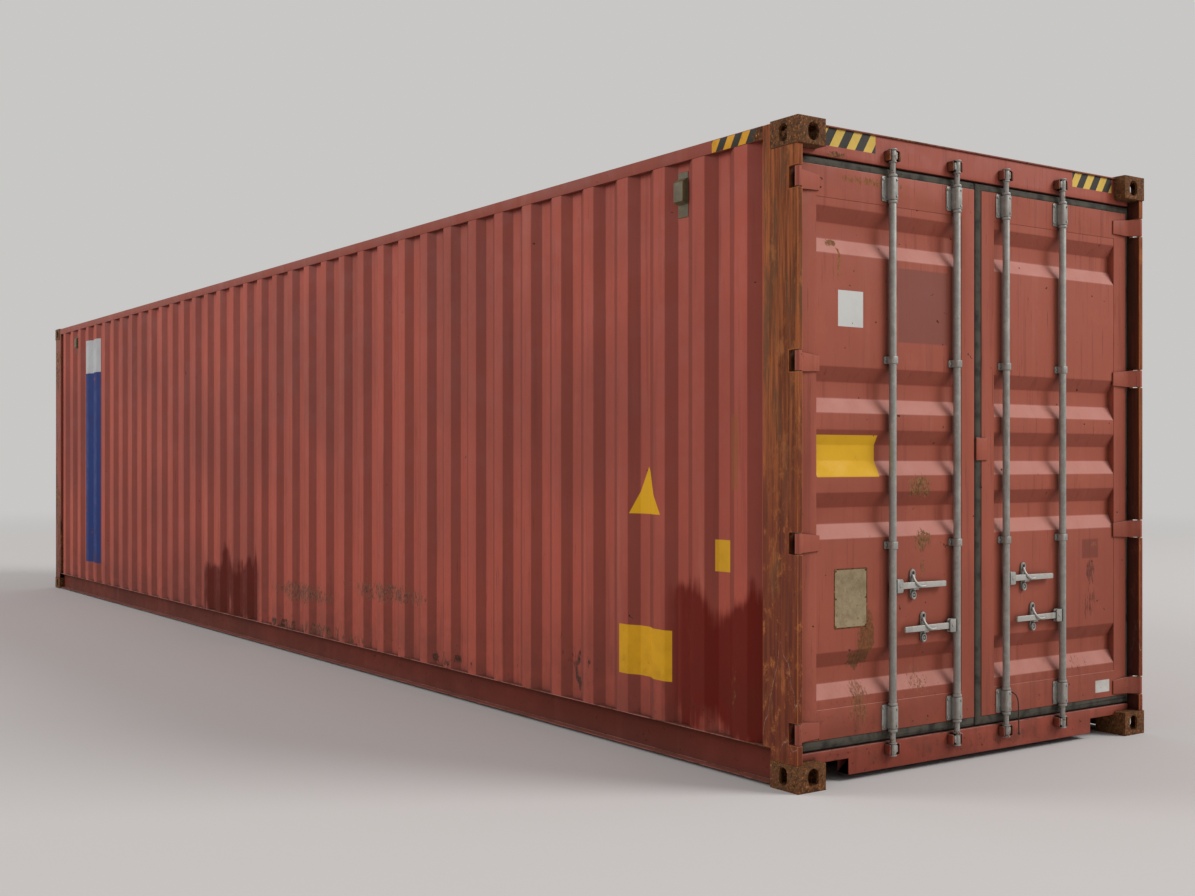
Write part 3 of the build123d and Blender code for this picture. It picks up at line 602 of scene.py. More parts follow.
class Pattern:
    """A material's node tree with the few steps that its patterns are made of."""

    def __init__(self, name: str) -> None:
        """Start an empty material with its object coordinates.

        Args:
            name: the material's name.
        """
        self.material = bpy.data.materials.new(name)
        self.material.use_nodes = True
        self.tree = self.material.node_tree
        self.tree.nodes.clear()
        places = add_node(self.tree, "ShaderNodeTexCoord")
        self.coords = places.outputs["Object"]
        self.x, self.y, self.z = self.split(self.coords)
        self.facing = self.split(places.outputs["Normal"])

    def split(self, vector: Socket) -> tuple[Socket, Socket, Socket]:
        """Give the three numbers of a vector."""
        parts = add_node(self.tree, "ShaderNodeSeparateXYZ", {0: vector})
        return parts.outputs[0], parts.outputs[1], parts.outputs[2]

    def math(self, operation: str, a: Any, b: Any = 0.0, c: Any = 0.0) -> Socket:
        """Do one sum on numbers or sockets and give its result."""
        node = add_node(self.tree, "ShaderNodeMath", {0: a, 1: b, 2: c}, operation=operation)
        return node.outputs[0]

    def noise(
        self, size_mm: float, detail: float = 4, rough: float = 0.55, stretch: Sequence[float] = (1, 1, 1)
    ) -> Socket:
        """Cloudy noise whose features are about one size across.

        Args:
            size_mm: the size of the largest features.
            detail: how many finer octaves it has.
            rough: how strong the finer octaves are.
            stretch: how many times longer its features are along each axis.

        Returns:
            The noise's value, around a half.
        """
        place = self.coords
        if tuple(stretch) != (1, 1, 1):
            scale = tuple(1 / s for s in stretch)
            place = add_node(self.tree, "ShaderNodeMapping", {"Vector": place, "Scale": scale}).outputs[0]
        node = add_node(
            self.tree,
            "ShaderNodeTexNoise",
            {"Vector": place, "Scale": 1000 / size_mm, "Detail": detail, "Roughness": rough},
        )
        return node.outputs[0]

    def ramp(self, value: Any, low: float, high: float) -> Socket:
        """Zero below one value, one above another and a soft rise between them."""
        limits = {"Value": value, "From Min": low, "From Max": high}
        return add_node(self.tree, "ShaderNodeMapRange", limits, interpolation_type="SMOOTHSTEP").outputs[0]

    def both(self, a: Any, b: Any) -> Socket:
        """Where two masks are both on."""
        return self.math("MULTIPLY", a, b)

    def either(self, a: Any, b: Any) -> Socket:
        """Where either mask is on."""
        return self.math("MAXIMUM", a, b)

    def off(self, a: Any) -> Socket:
        """A mask turned round."""
        return self.math("SUBTRACT", 1.0, a)

    def blend(self, amount: Any, under: Any, over: Any, how: str = "MIX") -> Socket:
        """Lay one colour over another.

        Args:
            amount: how much of the upper colour shows.
            under: the lower colour, as hex or a socket.
            over: the upper colour, as hex or a socket.
            how: the blend type.

        Returns:
            The mixed colour.
        """
        colours = [linear(c) if isinstance(c, str) else c for c in (under, over)]
        node = add_node(
            self.tree, "ShaderNodeMix", {0: amount, 6: colours[0], 7: colours[1]},
            data_type="RGBA", blend_type=how,
        )
        return node.outputs[2]

    def between(self, amount: Any, low: Any, high: Any) -> Socket:
        """Run a number from one value to another as a mask goes from zero to one."""
        node = add_node(self.tree, "ShaderNodeMix", {0: amount, 2: low, 3: high}, data_type="FLOAT")
        return node.outputs[0]

    def band(self, value: Any, low: float, high: float, soft: float = 0.002) -> Socket:
        """One between two limits of a coordinate, with soft ends."""
        rise = self.ramp(value, low - soft, low + soft)
        return self.both(rise, self.off(self.ramp(value, high - soft, high + soft)))

    def over(self, colour: Any, value: Any, low: float, high: float, share: Any, top: Any) -> Socket:
        """Lay a colour where a pattern's value rises.

        Args:
            colour: the colour so far.
            value: the pattern's value.
            low: the value at which the upper colour starts.
            high: the value from which it is at its full share.
            share: how much of it shows there.
            top: the upper colour.

        Returns:
            The mixed colour.
        """
        return self.blend(self.both(self.ramp(value, low, high), share), colour, top)

    def crevice_shade(self, colour: Any, deep: str, reach: float = 0.05) -> Socket:
        """Darken a colour with painted shade in hollows and corners.

        Args:
            colour: the colour so far.
            deep: the colour of the painted shade.
            reach: how near the faces of a hollow stand, in metres.

        Returns:
            The mixed colour.
        """
        node = add_node(self.tree, "ShaderNodeAmbientOcclusion", {"Distance": reach}, samples=6)
        return self.blend(self.both(self.off(self.ramp(node.outputs["AO"], 0.3, 0.85)), 0.6), colour, deep)

    def finish(
        self,
        colour: Any,
        roughness: Any,
        metallic: Any = 0.0,
        height: Any = None,
        depth_mm: float = 1.0,
        **shader: Any,
    ) -> Surface:
        """Close the tree with its shader.

        Args:
            colour: the base colour, as hex or a socket.
            roughness: the roughness, as a number or socket.
            metallic: the metallic share, as a number or socket.
            height: the mask that the bump rises with.
            depth_mm: how far it rises.
            shader: more of the shader's own inputs by name with underscores.

        Returns:
            The finished material.
        """
        inputs = {
            "Base Color": linear(colour) if isinstance(colour, str) else colour,
            "Roughness": roughness,
            "Metallic": metallic,
        }
        inputs.update({key.replace("_", " "): value for key, value in shader.items()})
        if height is not None:
            bump = add_node(
                self.tree, "ShaderNodeBump", {"Height": height, "Distance": depth_mm / 1000, "Strength": 1.0}
            )
            inputs["Normal"] = bump.outputs[0]
        surface = add_node(self.tree, "ShaderNodeBsdfPrincipled", inputs)
        add_node(self.tree, "ShaderNodeOutputMaterial", {"Surface": surface.outputs[0]})
        return self.material


class Plane(Enum):
    """The two faces of the container that carry painted or stuck-on marks."""

    SIDE = "long side"
    DOORS = "door end"


@dataclass(frozen=True)
class Mark:
    """A bare patch of another colour, by its limits along the face and in height.

    Wear is how much of it has rubbed off, gloss is its roughness, soft is how far its edge
    fades, drip is how far it ran, and share is how much of it covers the paint.
    """

    colour: str
    along: tuple[float, float]
    height: tuple[float, float]
    wear: float = 0.35
    gloss: float = 0.45
    stripes: bool = False
    pointed: bool = False
    soft: float = 0.0015
    drip: float = 0.0
    share: float = 1.0
    sheen: float = 0.15


@dataclass(frozen=True)
class Stain:
    """A ragged patch where the paint has gone, by its middle, its half sizes and its colours.

    Cover is how whole it is, run is how much taller than wide its grain is, and share is how
    much of it covers the paint.
    """

    along: float
    height: float
    half: tuple[float, float]
    colour: str = "#7A5230"
    deep: str = "#3E2413"
    cover: float = 0.5
    grain_mm: float = 60.0
    run: float = 1.6
    share: float = 1.0


@dataclass(frozen=True)
class AlkydPaint:
    """Oxide red alkyd paint sprayed on weathering steel, years old.

    It reads as a dull brick red, chalky in patches, with fine vertical dirt streaks, rust
    specks, brown bleeding under them and grime near the ground. Faces that look up are paler,
    partly chalk where rain and sun reach them and partly a painted highlight; faces that look
    down, hollows and, where asked for, faces turned towards the ends carry painted shade.
    """

    name: str
    base: str = "#A04632"
    shade: str = "#8E3D2B"
    deep: str = "#6A271A"
    chalk: str = "#B56C5A"
    rust: str = "#5E3119"
    old_rust: str = "#2E170D"
    speck_share: float = 0.2
    streak_share: float = 0.35
    bleed_share: float = 0.3
    bare_share: float = 0.0
    grime: float = 0.4
    up_chalk_and_highlight: float = 0.5
    slope_shade_share: float = 0.0
    sheen: float = 0.35
    dents_mm: float = 1.5
    plane: Plane | None = None
    marks: tuple[Mark, ...] = ()
    stains: tuple[Stain, ...] = ()

    def build(self) -> Surface:
        """Make the paint with its layers from the primer up to the marks.

        Returns:
            The material.
        """
        p = Pattern(self.name)
        cloud = p.noise(1300, 4, 0.5)
        small = p.noise(140, 6, 0.62)
        streak = p.noise(40, 4, 0.6, (1, 1, 26))
        long_streak = p.noise(120, 3, 0.55, (1, 1, 16))
        fine = p.noise(9, 3, 0.6)
        up = p.facing[2]
        colour = p.blend(p.ramp(cloud, 0.36, 0.64), self.shade, self.base)
        colour = p.over(colour, small, 0.5, 0.78, 0.2, self.chalk)
        colour = p.over(colour, streak, 0.53, 0.72, self.streak_share, self.deep)
        colour = p.over(colour, long_streak, 0.55, 0.8, self.streak_share * 0.7, self.chalk)
        # Painted shade: faces turned towards the ends, such as the corrugations' slopes, are darkened.
        if self.slope_shade_share:
            slope_shade = p.ramp(p.math("ABSOLUTE", p.facing[0]), 0.1, 0.4)
            colour = p.blend(p.both(slope_shade, self.slope_shade_share), colour, self.deep)
        thin = p.both(p.ramp(p.noise(11, 4, 0.65, (1, 1, 26)), 0.62, 0.68), p.ramp(cloud, 0.45, 0.58))
        colour = p.blend(p.both(thin, 0.65), colour, self.deep)
        # Painted highlight mixed with chalk: faces that look up turn pale pink.
        colour = p.over(colour, up, 0.15, 0.6, self.up_chalk_and_highlight, "#CC9084")
        # Painted shade: faces that look down are darkened.
        colour = p.blend(p.both(p.off(p.ramp(up, -0.6, -0.15)), 0.6), colour, self.deep)
        outside = self._outside(p)
        colour, gloss, sheen = self._marked(p, colour, outside, streak, small, fine)
        low = p.off(p.ramp(p.z, 0.05, 0.75))
        bleed_at = p.both(p.ramp(p.noise(60, 5, 0.7, (1, 1, 8)), 0.58, 0.74), p.ramp(small, 0.4, 0.62))
        bleed = p.both(bleed_at, p.between(low, self.bleed_share * 0.35, self.bleed_share * 1.7))
        colour = p.blend(bleed, colour, self.rust)
        sparse = p.ramp(p.noise(42, 2, 0.5), 0.79 - 0.09 * self.speck_share, 0.80 - 0.08 * self.speck_share)
        speck = p.ramp(p.noise(24, 7, 0.72), 0.72 - 0.12 * self.speck_share, 0.77 - 0.07 * self.speck_share)
        low_speck = p.ramp(p.noise(34, 7, 0.7), 0.60, 0.68)
        speck = p.either(p.both(speck, p.ramp(small, 0.46, 0.62)), p.both(low_speck, p.both(low, low)))
        speck = p.either(speck, sparse)
        if self.bare_share:
            colour, speck = self._bared(p, colour, speck)
        for stain in self.stains:
            body, lost = self._stained(p, stain)
            lost = p.both(p.both(lost, outside), stain.share)
            colour = p.blend(lost, colour, body)
            speck = p.either(speck, p.both(p.both(lost, lost), p.ramp(fine, 0.55, 0.75)))
            gloss = p.between(lost, gloss, 0.9)
        tone = p.blend(p.ramp(fine, 0.35, 0.65), self.old_rust, self.rust)
        colour = p.blend(speck, colour, tone)
        dirt = p.both(p.both(low, p.ramp(small, 0.3, 0.7)), self.grime)
        colour = p.blend(dirt, colour, "#47261C")
        # Painted shade in hollows and corners.
        colour = p.crevice_shade(colour, "#2A140E")
        rough = p.between(speck, p.between(p.ramp(small, 0.3, 0.7), gloss, 0.74), 0.92)
        dent = p.math("MULTIPLY", p.noise(520, 2, 0.4), self.dents_mm)
        height = p.math("ADD", dent, p.math("MULTIPLY", p.math("SUBTRACT", p.both(fine, 0.3), speck), 0.35))
        return p.finish(colour, rough, 0.0, height, 1.0, Specular_IOR_Level=sheen)

    def _outside(self, p: Pattern) -> Any:
        """Where a face looks out of the container, so that no mark shows on its inside.

        Args:
            p: the pattern being built.

        Returns:
            The mask, or one where nothing is left out.
        """
        if self.plane is Plane.SIDE:
            return p.off(p.ramp(p.facing[1], -0.5, -0.2))
        if self.plane is Plane.DOORS:
            return p.ramp(p.facing[0], 0.2, 0.5)
        return 1.0

    def _along(self, p: Pattern) -> Any:
        """The coordinate that runs along the marked face."""
        return p.x if self.plane is Plane.SIDE else p.y

    def _bared(self, p: Pattern, colour: Any, speck: Any) -> tuple[Any, Any]:
        """Take the paint off in ragged tall patches.

        Args:
            p: the pattern being built.
            colour: the paint's colour so far.
            speck: the rust pits so far.

        Returns:
            The colour and the pits.
        """
        share = self.bare_share
        bare = p.ramp(p.noise(260, 7, 0.68, (1, 1, 2.4)), 0.78 - 0.5 * share, 0.86 - 0.45 * share)
        tint = p.blend(p.ramp(p.noise(60, 7, 0.7), 0.35, 0.65), self.rust, "#8F5226")
        tint = p.blend(p.ramp(p.noise(80, 6, 0.68, (1, 1, 5)), 0.5, 0.66), tint, self.old_rust)
        pits = p.both(bare, p.ramp(p.noise(18, 6, 0.7), 0.47, 0.6))
        return p.blend(bare, colour, tint), p.either(speck, pits)

    def _stained(self, p: Pattern, stain: Stain) -> tuple[Any, Any]:
        """Give a stain's colour and where it lies.

        Args:
            p: the pattern being built.
            stain: the stain.

        Returns:
            The stain's colour and the mask of where it lies.
        """
        u = p.math("DIVIDE", p.math("SUBTRACT", self._along(p), stain.along), stain.half[0])
        v = p.math("DIVIDE", p.math("SUBTRACT", p.z, stain.height), stain.half[1])
        far = p.math("ADD", p.math("MULTIPLY", u, u), p.math("MULTIPLY", v, v))
        ragged = p.noise(stain.grain_mm, 7, 0.66, (1, 1, stain.run))
        inside = p.math("SUBTRACT", p.math("MULTIPLY", p.math("SUBTRACT", ragged, 0.5), 3.4), far)
        lost = p.both(p.ramp(inside, -0.2 - stain.cover, 0.05 - stain.cover), p.off(p.ramp(far, 0.9, 1.5)))
        body = p.blend(p.ramp(p.noise(13, 6, 0.7, (1, 1, 1.3)), 0.38, 0.62), stain.deep, stain.colour)
        return body, lost

    def _marked(
        self, p: Pattern, colour: Any, outside: Any, streak: Any, small: Any, fine: Any
    ) -> tuple[Any, Any, Any]:
        """Lay the marks over the paint and give the colour, the roughness and the sheen they leave.

        Args:
            p: the pattern being built.
            colour: the paint's colour so far.
            outside: where a face looks out of the container.
            streak: tall noise for the edge of paint that ran.
            small: noise for worn patches.
            fine: noise for scuffs.

        Returns:
            The colour, the roughness and the sheen.
        """
        gloss: Any = 0.6
        sheen: Any = self.sheen
        along = self._along(p)
        for mark in self.marks:
            height = p.z
            if mark.drip:
                rise = p.math("ADD", p.math("MULTIPLY", streak, 0.35), p.noise(420, 3, 0.5))
                height = p.math("ADD", p.z, p.math("MULTIPLY", p.math("SUBTRACT", rise, 0.68), mark.drip))
            mask = p.both(p.band(along, *mark.along, mark.soft), p.band(height, *mark.height, mark.soft))
            mask = p.both(mask, outside)
            if mark.pointed:
                middle, half = sum(mark.along) / 2, (mark.along[1] - mark.along[0]) / 2
                share = p.math(
                    "DIVIDE", p.math("SUBTRACT", mark.height[1], p.z), mark.height[1] - mark.height[0]
                )
                away = p.math("ABSOLUTE", p.math("SUBTRACT", along, middle))
                inside = p.math("SUBTRACT", p.math("MULTIPLY", share, half), away)
                mask = p.both(mask, p.ramp(inside, 0.0, 0.004))
            edge = 0.93 - 0.5 * mark.wear
            worn = p.ramp(p.math("ADD", small, p.math("MULTIPLY", fine, 0.35)), edge, edge + 0.07)
            mask = p.both(p.both(mask, p.off(worn)), mark.share)
            over: Any = linear(mark.colour)
            if mark.stripes:
                slant = p.math("SUBTRACT", along, p.math("MULTIPLY", p.z, 0.6))
                phase = p.math("FRACT", p.math("DIVIDE", p.math("ADD", slant, 9.0), 0.104))
                over = p.blend(p.ramp(phase, 0.48, 0.52), mark.colour, "#34332F")
            grimy = p.over(over, small, 0.42, 0.75, 0.04 + 0.7 * mark.wear, "#6A5034")
            colour = p.blend(mask, colour, grimy)
            gloss = p.between(mask, gloss, mark.gloss)
            sheen = p.between(mask, sheen, mark.sheen)
        return colour, gloss, sheen


@dataclass(frozen=True)
class RustedPost:
    """Corner post whose red paint has mostly given way to rust.

    It reads as brown and orange steel with long dark runs and cracks, greyer near the top,
    with dark red paint still holding low down under orange speckle and pale scratches.
    """

    name: str = "rust-streaked post steel"
    glow: float = 0.0

    def build(self) -> Surface:
        """Make the rusted post.

        Returns:
            The material.
        """
        p = Pattern(self.name)
        lines = p.noise(18, 6, 0.68, (1, 1, 30))
        runs = p.noise(60, 6, 0.66, (1, 1, 9))
        patch = p.noise(120, 7, 0.68, (1, 1, 2.2))
        flake = p.noise(52, 8, 0.8, (1, 1, 1.8))
        grit = p.noise(8, 5, 0.68)
        lower = p.off(p.ramp(p.z, 1.0, 1.7))
        colour = p.blend(p.ramp(lines, 0.36, 0.64), "#66331A", "#A05A33")
        colour = p.over(colour, runs, 0.50, 0.62, 0.75, "#5C3F2A")
        colour = p.over(colour, patch, 0.56, 0.66, 0.5, "#B06C3C")
        paint = p.both(p.ramp(patch, 0.38, 0.48), p.both(lower, 0.95))
        colour = p.blend(paint, colour, p.blend(p.ramp(lines, 0.35, 0.65), "#582212", "#763418"))
        orange = p.ramp(flake, 0.53, 0.63)
        colour = p.blend(p.both(orange, p.between(lower, 0.25, 0.85)), colour, "#A8602E")
        colour = p.over(colour, flake, 0.66, 0.70, p.both(lower, 0.7), "#8C8074")
        cracks = p.either(
            p.ramp(p.noise(20, 6, 0.74, (1, 1, 11)), 0.64, 0.69), p.ramp(p.noise(24, 7, 0.76), 0.68, 0.72)
        )
        crack = p.both(cracks, p.ramp(runs, 0.40, 0.52))
        colour = p.blend(crack, colour, "#1C0F09")
        contour = p.math("ABSOLUTE", p.math("SUBTRACT", p.noise(170, 3, 0.5, (1, 1, 3.5)), 0.55))
        low_band = p.band(p.z, 0.16, 0.62, 0.06)
        scratch = p.both(p.off(p.ramp(contour, 0.002, 0.006)), p.both(low_band, p.ramp(grit, 0.42, 0.58)))
        colour = p.blend(p.both(scratch, 0.6), colour, "#AA9484")
        colour = p.over(colour, grit, 0.58, 0.72, 0.5, "#3A1C10")
        # Painted shade: the posts' inner faces, turned towards the middle of the door end, are darkened.
        inner_face_shade = p.both(p.ramp(p.facing[1], 0.3, 0.7), p.off(p.ramp(p.y, -0.2, 0.2)))
        inner_face_shade = p.either(inner_face_shade, p.both(p.off(p.ramp(p.facing[1], -0.7, -0.3)), p.ramp(p.y, -0.2, 0.2)))
        colour = p.blend(p.both(inner_face_shade, 0.85), colour, "#3C140C")
        # Bright orange over the runs: rust, and partly a painted highlight on the rounded edges that take
        # this finish.
        colour = p.over(colour, runs, 0.36, 0.58, self.glow, "#BC6C34")
        # Painted shade in hollows and corners.
        colour = p.crevice_shade(colour, "#1E0F0A")
        height = p.math("SUBTRACT", p.math("MULTIPLY", lines, 0.6), crack)
        height = p.math("ADD", height, p.math("MULTIPLY", orange, 0.35))
        return p.finish(colour, p.between(paint, 0.88, 0.7), 0.0, height, 1.2, Specular_IOR_Level=0.25)


@dataclass(frozen=True)
class CastSteel:
    """Cast corner fitting with most of its paint gone.

    It reads as a coarse, matt, dark brown rust, speckled with orange grains a few
    millimetres across and with darker pits.
    """

    name: str = "rusted cast steel"

    def build(self) -> Surface:
        """Make the rusted casting.

        Returns:
            The material.
        """
        p = Pattern(self.name)
        broad, grain, fine = p.noise(130, 5, 0.6), p.noise(15, 7, 0.72), p.noise(5, 4, 0.6)
        colour = p.blend(p.ramp(grain, 0.38, 0.62), "#38210F", "#744827")
        colour = p.over(colour, broad, 0.42, 0.62, 0.5, "#5C3E22")
        colour = p.over(colour, p.noise(11, 6, 0.74), 0.55, 0.64, 0.9, "#B06E3A")
        colour = p.over(colour, p.noise(13, 7, 0.72), 0.56, 0.64, 0.85, "#1F120C")
        colour = p.over(colour, broad, 0.60, 0.68, 0.5, "#6A3526")
        height = p.math("ADD", grain, p.math("MULTIPLY", fine, 0.4))
        return p.finish(colour, p.between(grain, 0.75, 0.95), 0.0, height, 1.6, Specular_IOR_Level=0.25)


@dataclass(frozen=True)
class HotDipZinc:
    """Hot-dip galvanised steel that has weathered.

    It reads as a flat mid grey with a faint mottled spangle, white bloom and brown rust at
    worn places, and it is hardly shiny any more.
    """

    name: str = "weathered hot-dip zinc"
    rust_share: float = 0.2
    plain: str = "#918E88"

    def build(self) -> Surface:
        """Make the dull zinc.

        Returns:
            The material.
        """
        p = Pattern(self.name)
        spangle = add_node(
            p.tree, "ShaderNodeTexVoronoi", {"Vector": p.coords, "Scale": 1000 / 14, "Randomness": 1.0}
        ).outputs["Color"]
        cells = add_node(p.tree, "ShaderNodeSeparateXYZ", {0: spangle}).outputs[0]
        mid, fine = p.noise(38, 6, 0.66), p.noise(5, 4, 0.6)
        colour = p.blend(p.both(cells, 0.35), self.plain, "#A9A69F")
        colour = p.over(colour, mid, 0.45, 0.7, 0.6, "#B4B1AA")
        colour = p.over(colour, p.noise(80, 6, 0.72, (1, 1, 4)), 0.5, 0.66, 0.5, "#716B62")
        rust = p.ramp(p.noise(30, 7, 0.74), 0.74 - 0.22 * self.rust_share, 0.80 - 0.18 * self.rust_share)
        colour = p.blend(rust, colour, p.blend(p.ramp(fine, 0.4, 0.6), "#4B2A18", "#7A4A2A"))
        # Painted shade in hollows and corners.
        colour = p.crevice_shade(colour, "#2F2822", 0.02)
        metal = p.between(rust, 0.3, 0.0)
        rough = p.between(rust, p.between(mid, 0.36, 0.56), 0.9)
        height = p.math("ADD", p.math("MULTIPLY", rust, 0.6), p.math("MULTIPLY", fine, 0.3))
        return p.finish(colour, rough, metal, height, 0.5)


@dataclass(frozen=True)
class SealRubber:
    """Extruded EPDM door seal, greyed by dust and weather, matt, with reddish dust on it and a painted
    highlight along its front.
    """

    name: str = "weathered EPDM rubber"

    def build(self) -> Surface:
        """Make the seal's rubber.

        Returns:
            The material.
        """
        p = Pattern(self.name)
        mid, fine = p.noise(70, 5, 0.6), p.noise(4, 3, 0.6)
        colour = p.blend(p.ramp(mid, 0.35, 0.7), "#262420", "#3C3932")
        # Painted highlight: faces that look straight out are lightened.
        ridge = p.both(p.ramp(p.facing[0], 0.8, 0.97), p.ramp(mid, 0.3, 0.6))
        colour = p.blend(p.both(ridge, 0.8), colour, "#4E4A40")
        colour = p.over(colour, p.noise(35, 6, 0.7), 0.62, 0.74, 0.4, "#5E4436")
        return p.finish(colour, p.between(mid, 0.7, 0.85), 0.0, fine, 0.3, Specular_IOR_Level=0.25)


@dataclass(frozen=True)
class PlywoodDeck:
    """Tropical hardwood plywood deck, oiled brown, scuffed, with butt joints between its sheets."""

    name: str = "hardwood plywood deck"

    def build(self) -> Surface:
        """Make the deck with its long grain and sheet joints.

        Returns:
            The material.
        """
        p = Pattern(self.name)
        grain = p.noise(7, 5, 0.65, (60, 1, 1))
        wide = p.noise(300, 5, 0.6)
        colour = p.blend(p.ramp(grain, 0.35, 0.65), "#5A3A22", "#7D5634")
        colour = p.over(colour, wide, 0.4, 0.7, 0.5, "#4A3020")
        across = p.math("PINGPONG", p.math("ADD", p.y, 1.2), 0.3)
        along = p.math("PINGPONG", p.math("ADD", p.x, 6.1), 1.2)
        joint = p.either(p.off(p.ramp(across, 0.0015, 0.004)), p.off(p.ramp(along, 0.0015, 0.004)))
        colour = p.blend(joint, colour, "#1C120B")
        height = p.math("SUBTRACT", p.math("MULTIPLY", grain, 0.25), joint)
        return p.finish(colour, p.between(wide, 0.6, 0.8), 0.0, height, 1.0)


@dataclass(frozen=True)
class MouldedCover:
    """Injection-moulded ventilator cover in khaki plastic, sun-faded, with darker dusty patches."""

    name: str = "faded moulded plastic"

    def build(self) -> Surface:
        """Make the cover's plastic.

        Returns:
            The material.
        """
        p = Pattern(self.name)
        mid = p.noise(45, 5, 0.65)
        colour = p.blend(p.ramp(mid, 0.3, 0.7), "#4E442B", "#665A3C")
        colour = p.over(colour, p.noise(20, 6, 0.7), 0.56, 0.68, 0.6, "#4A3A26")
        return p.finish(colour, 0.6, 0.0, p.noise(3, 3, 0.5), 0.2)


@dataclass(frozen=True)
class EtchedPlate:
    """Thin etched brass plate gone dull and khaki, with nothing on it."""

    name: str = "dull etched brass"

    def build(self) -> Surface:
        """Make the plate's metal.

        Returns:
            The material.
        """
        p = Pattern(self.name)
        mid, fine = p.noise(50, 6, 0.66), p.noise(6, 4, 0.6)
        colour = p.blend(p.ramp(mid, 0.35, 0.68), "#857355", "#9C8B6C")
        colour = p.over(colour, p.noise(22, 7, 0.72), 0.56, 0.68, 0.7, "#6A4A2C")
        colour = p.over(colour, fine, 0.5, 0.75, 0.3, "#5E5640")
        return p.finish(colour, p.between(mid, 0.5, 0.7), 0.35, fine, 0.25)


@dataclass(frozen=True)
class TwistedRope:
    """Thin three-strand rope black with road dirt, matt, with the ridges of its strands."""

    name: str = "dirty twisted rope"

    def build(self) -> Surface:
        """Make the rope's fibre with its strands a few millimetres apart.

        Returns:
            The material.
        """
        p = Pattern(self.name)
        turn = p.math("ADD", p.math("MULTIPLY", p.z, 900.0), p.math("MULTIPLY", p.y, 600.0))
        strand = p.math("MULTIPLY", p.math("ADD", p.math("SINE", turn), 1.0), 0.5)
        colour = p.blend(strand, "#1D140F", "#523A2E")
        colour = p.over(colour, p.noise(12, 5, 0.7), 0.5, 0.7, 0.5, "#4E3527")
        return p.finish(colour, 0.9, 0.0, strand, 0.6)


# ---------------------------------------------------------------- studio
@dataclass
class Studio:
    """The camera, the pale floor and the soft light."""

    camera_place: tuple[float, float, float] = (10.600, -5.385, 1.419)
    camera_yaw_deg: float = 145.221
    focal_mm: float = 43.059
    shift_up: float = 0.01101
    backdrop: str = "#C8C7C5"
    floor: str = "#C9C5C3"
    floor_size: float = 160.0
    fade_start: float = 9.0
    fade_end: float = 34.0

    def build(self) -> None:
        """Set up the camera, the lights, the world and the floor."""
        self._camera()
        self._lamps()
        self._world()
        self._floor()
        scene = bpy.context.scene
        scene.view_settings.view_transform = "Standard"

    def _camera(self) -> None:
        """Place a level camera at the photograph's viewpoint."""
        data = bpy.data.cameras.new("camera")
        data.lens = self.focal_mm
        data.sensor_width = 36.0
        data.shift_y = self.shift_up
        data.clip_end = 400
        camera = bpy.data.objects.new("camera", data)
        camera.location = self.camera_place
        camera.rotation_euler = (math.radians(90), 0, math.radians(self.camera_yaw_deg - 90))
        bpy.context.scene.collection.objects.link(camera)
        bpy.context.scene.camera = camera

    def _lamps(self) -> None:
        """Hang one broad key light over the door end and a weak fill by the long side."""
        for name, place, target, size, power in (
            ("key_light", (30.6, 24.7, 29.1), (5.0, 0.5, 1.2), 23.0, 13400.0),
            ("side_light", (-22.5, -34.9, 19.9), (0.5, -1.0, 1.3), 22.0, 7900.0),
        ):
            data = bpy.data.lights.new(name, "AREA")
            data.shape = "DISK"
            data.size = size
            data.energy = power
            lamp = bpy.data.objects.new(name, data)
            lamp.location = place
            aim = Vector(target) - Vector(place)
            lamp.rotation_euler = aim.to_track_quat("-Z", "Y").to_euler()
            bpy.context.scene.collection.objects.link(lamp)

    def _world(self) -> None:
        """Light everything softly, and show the backdrop's colour where nothing stands."""
        world = bpy.data.worlds.new("studio")
        bpy.context.scene.world = world
        world.use_nodes = True
        tree = world.node_tree
        tree.nodes.clear()
        ray = add_node(tree, "ShaderNodeLightPath")
        seen = add_node(
            tree,
            "ShaderNodeMath",
            {0: ray.outputs["Is Camera Ray"], 1: ray.outputs["Is Glossy Ray"]},
            operation="MAXIMUM",
        )
        light = add_node(tree, "ShaderNodeBackground", {"Color": linear("#F2F2F2"), "Strength": 0.58})
        show = add_node(tree, "ShaderNodeBackground", {"Color": linear(self.backdrop), "Strength": 1.0})
        mix = add_node(
            tree, "ShaderNodeMixShader", {0: seen.outputs[0], 1: light.outputs[0], 2: show.outputs[0]}
        )
        add_node(tree, "ShaderNodeOutputWorld", {"Surface": mix.outputs[0]})

    def _floor(self) -> None:
        """Lay a floor whose far part takes the backdrop's colour, so that no edge shows."""
        deselect()
        bpy.ops.mesh.primitive_plane_add(size=self.floor_size, location=(0, 0, -0.0005))
        floor = bpy.context.object
        floor.name = "studio_floor"
        bake_place(floor)
        p = Pattern("matt studio floor")
        far = add_node(p.tree, "ShaderNodeVectorMath", {0: p.coords}, operation="LENGTH").outputs["Value"]
        fade = p.ramp(far, self.fade_start, self.fade_end)
        matt = add_node(p.tree, "ShaderNodeBsdfDiffuse", {"Color": linear(self.floor)})
        glow = add_node(p.tree, "ShaderNodeEmission", {"Color": linear(self.backdrop), "Strength": 1.0})
        mix = add_node(p.tree, "ShaderNodeMixShader", {0: fade, 1: matt.outputs[0], 2: glow.outputs[0]})
        add_node(p.tree, "ShaderNodeOutputMaterial", {"Surface": mix.outputs[0]})
        floor.data.materials.append(p.material)


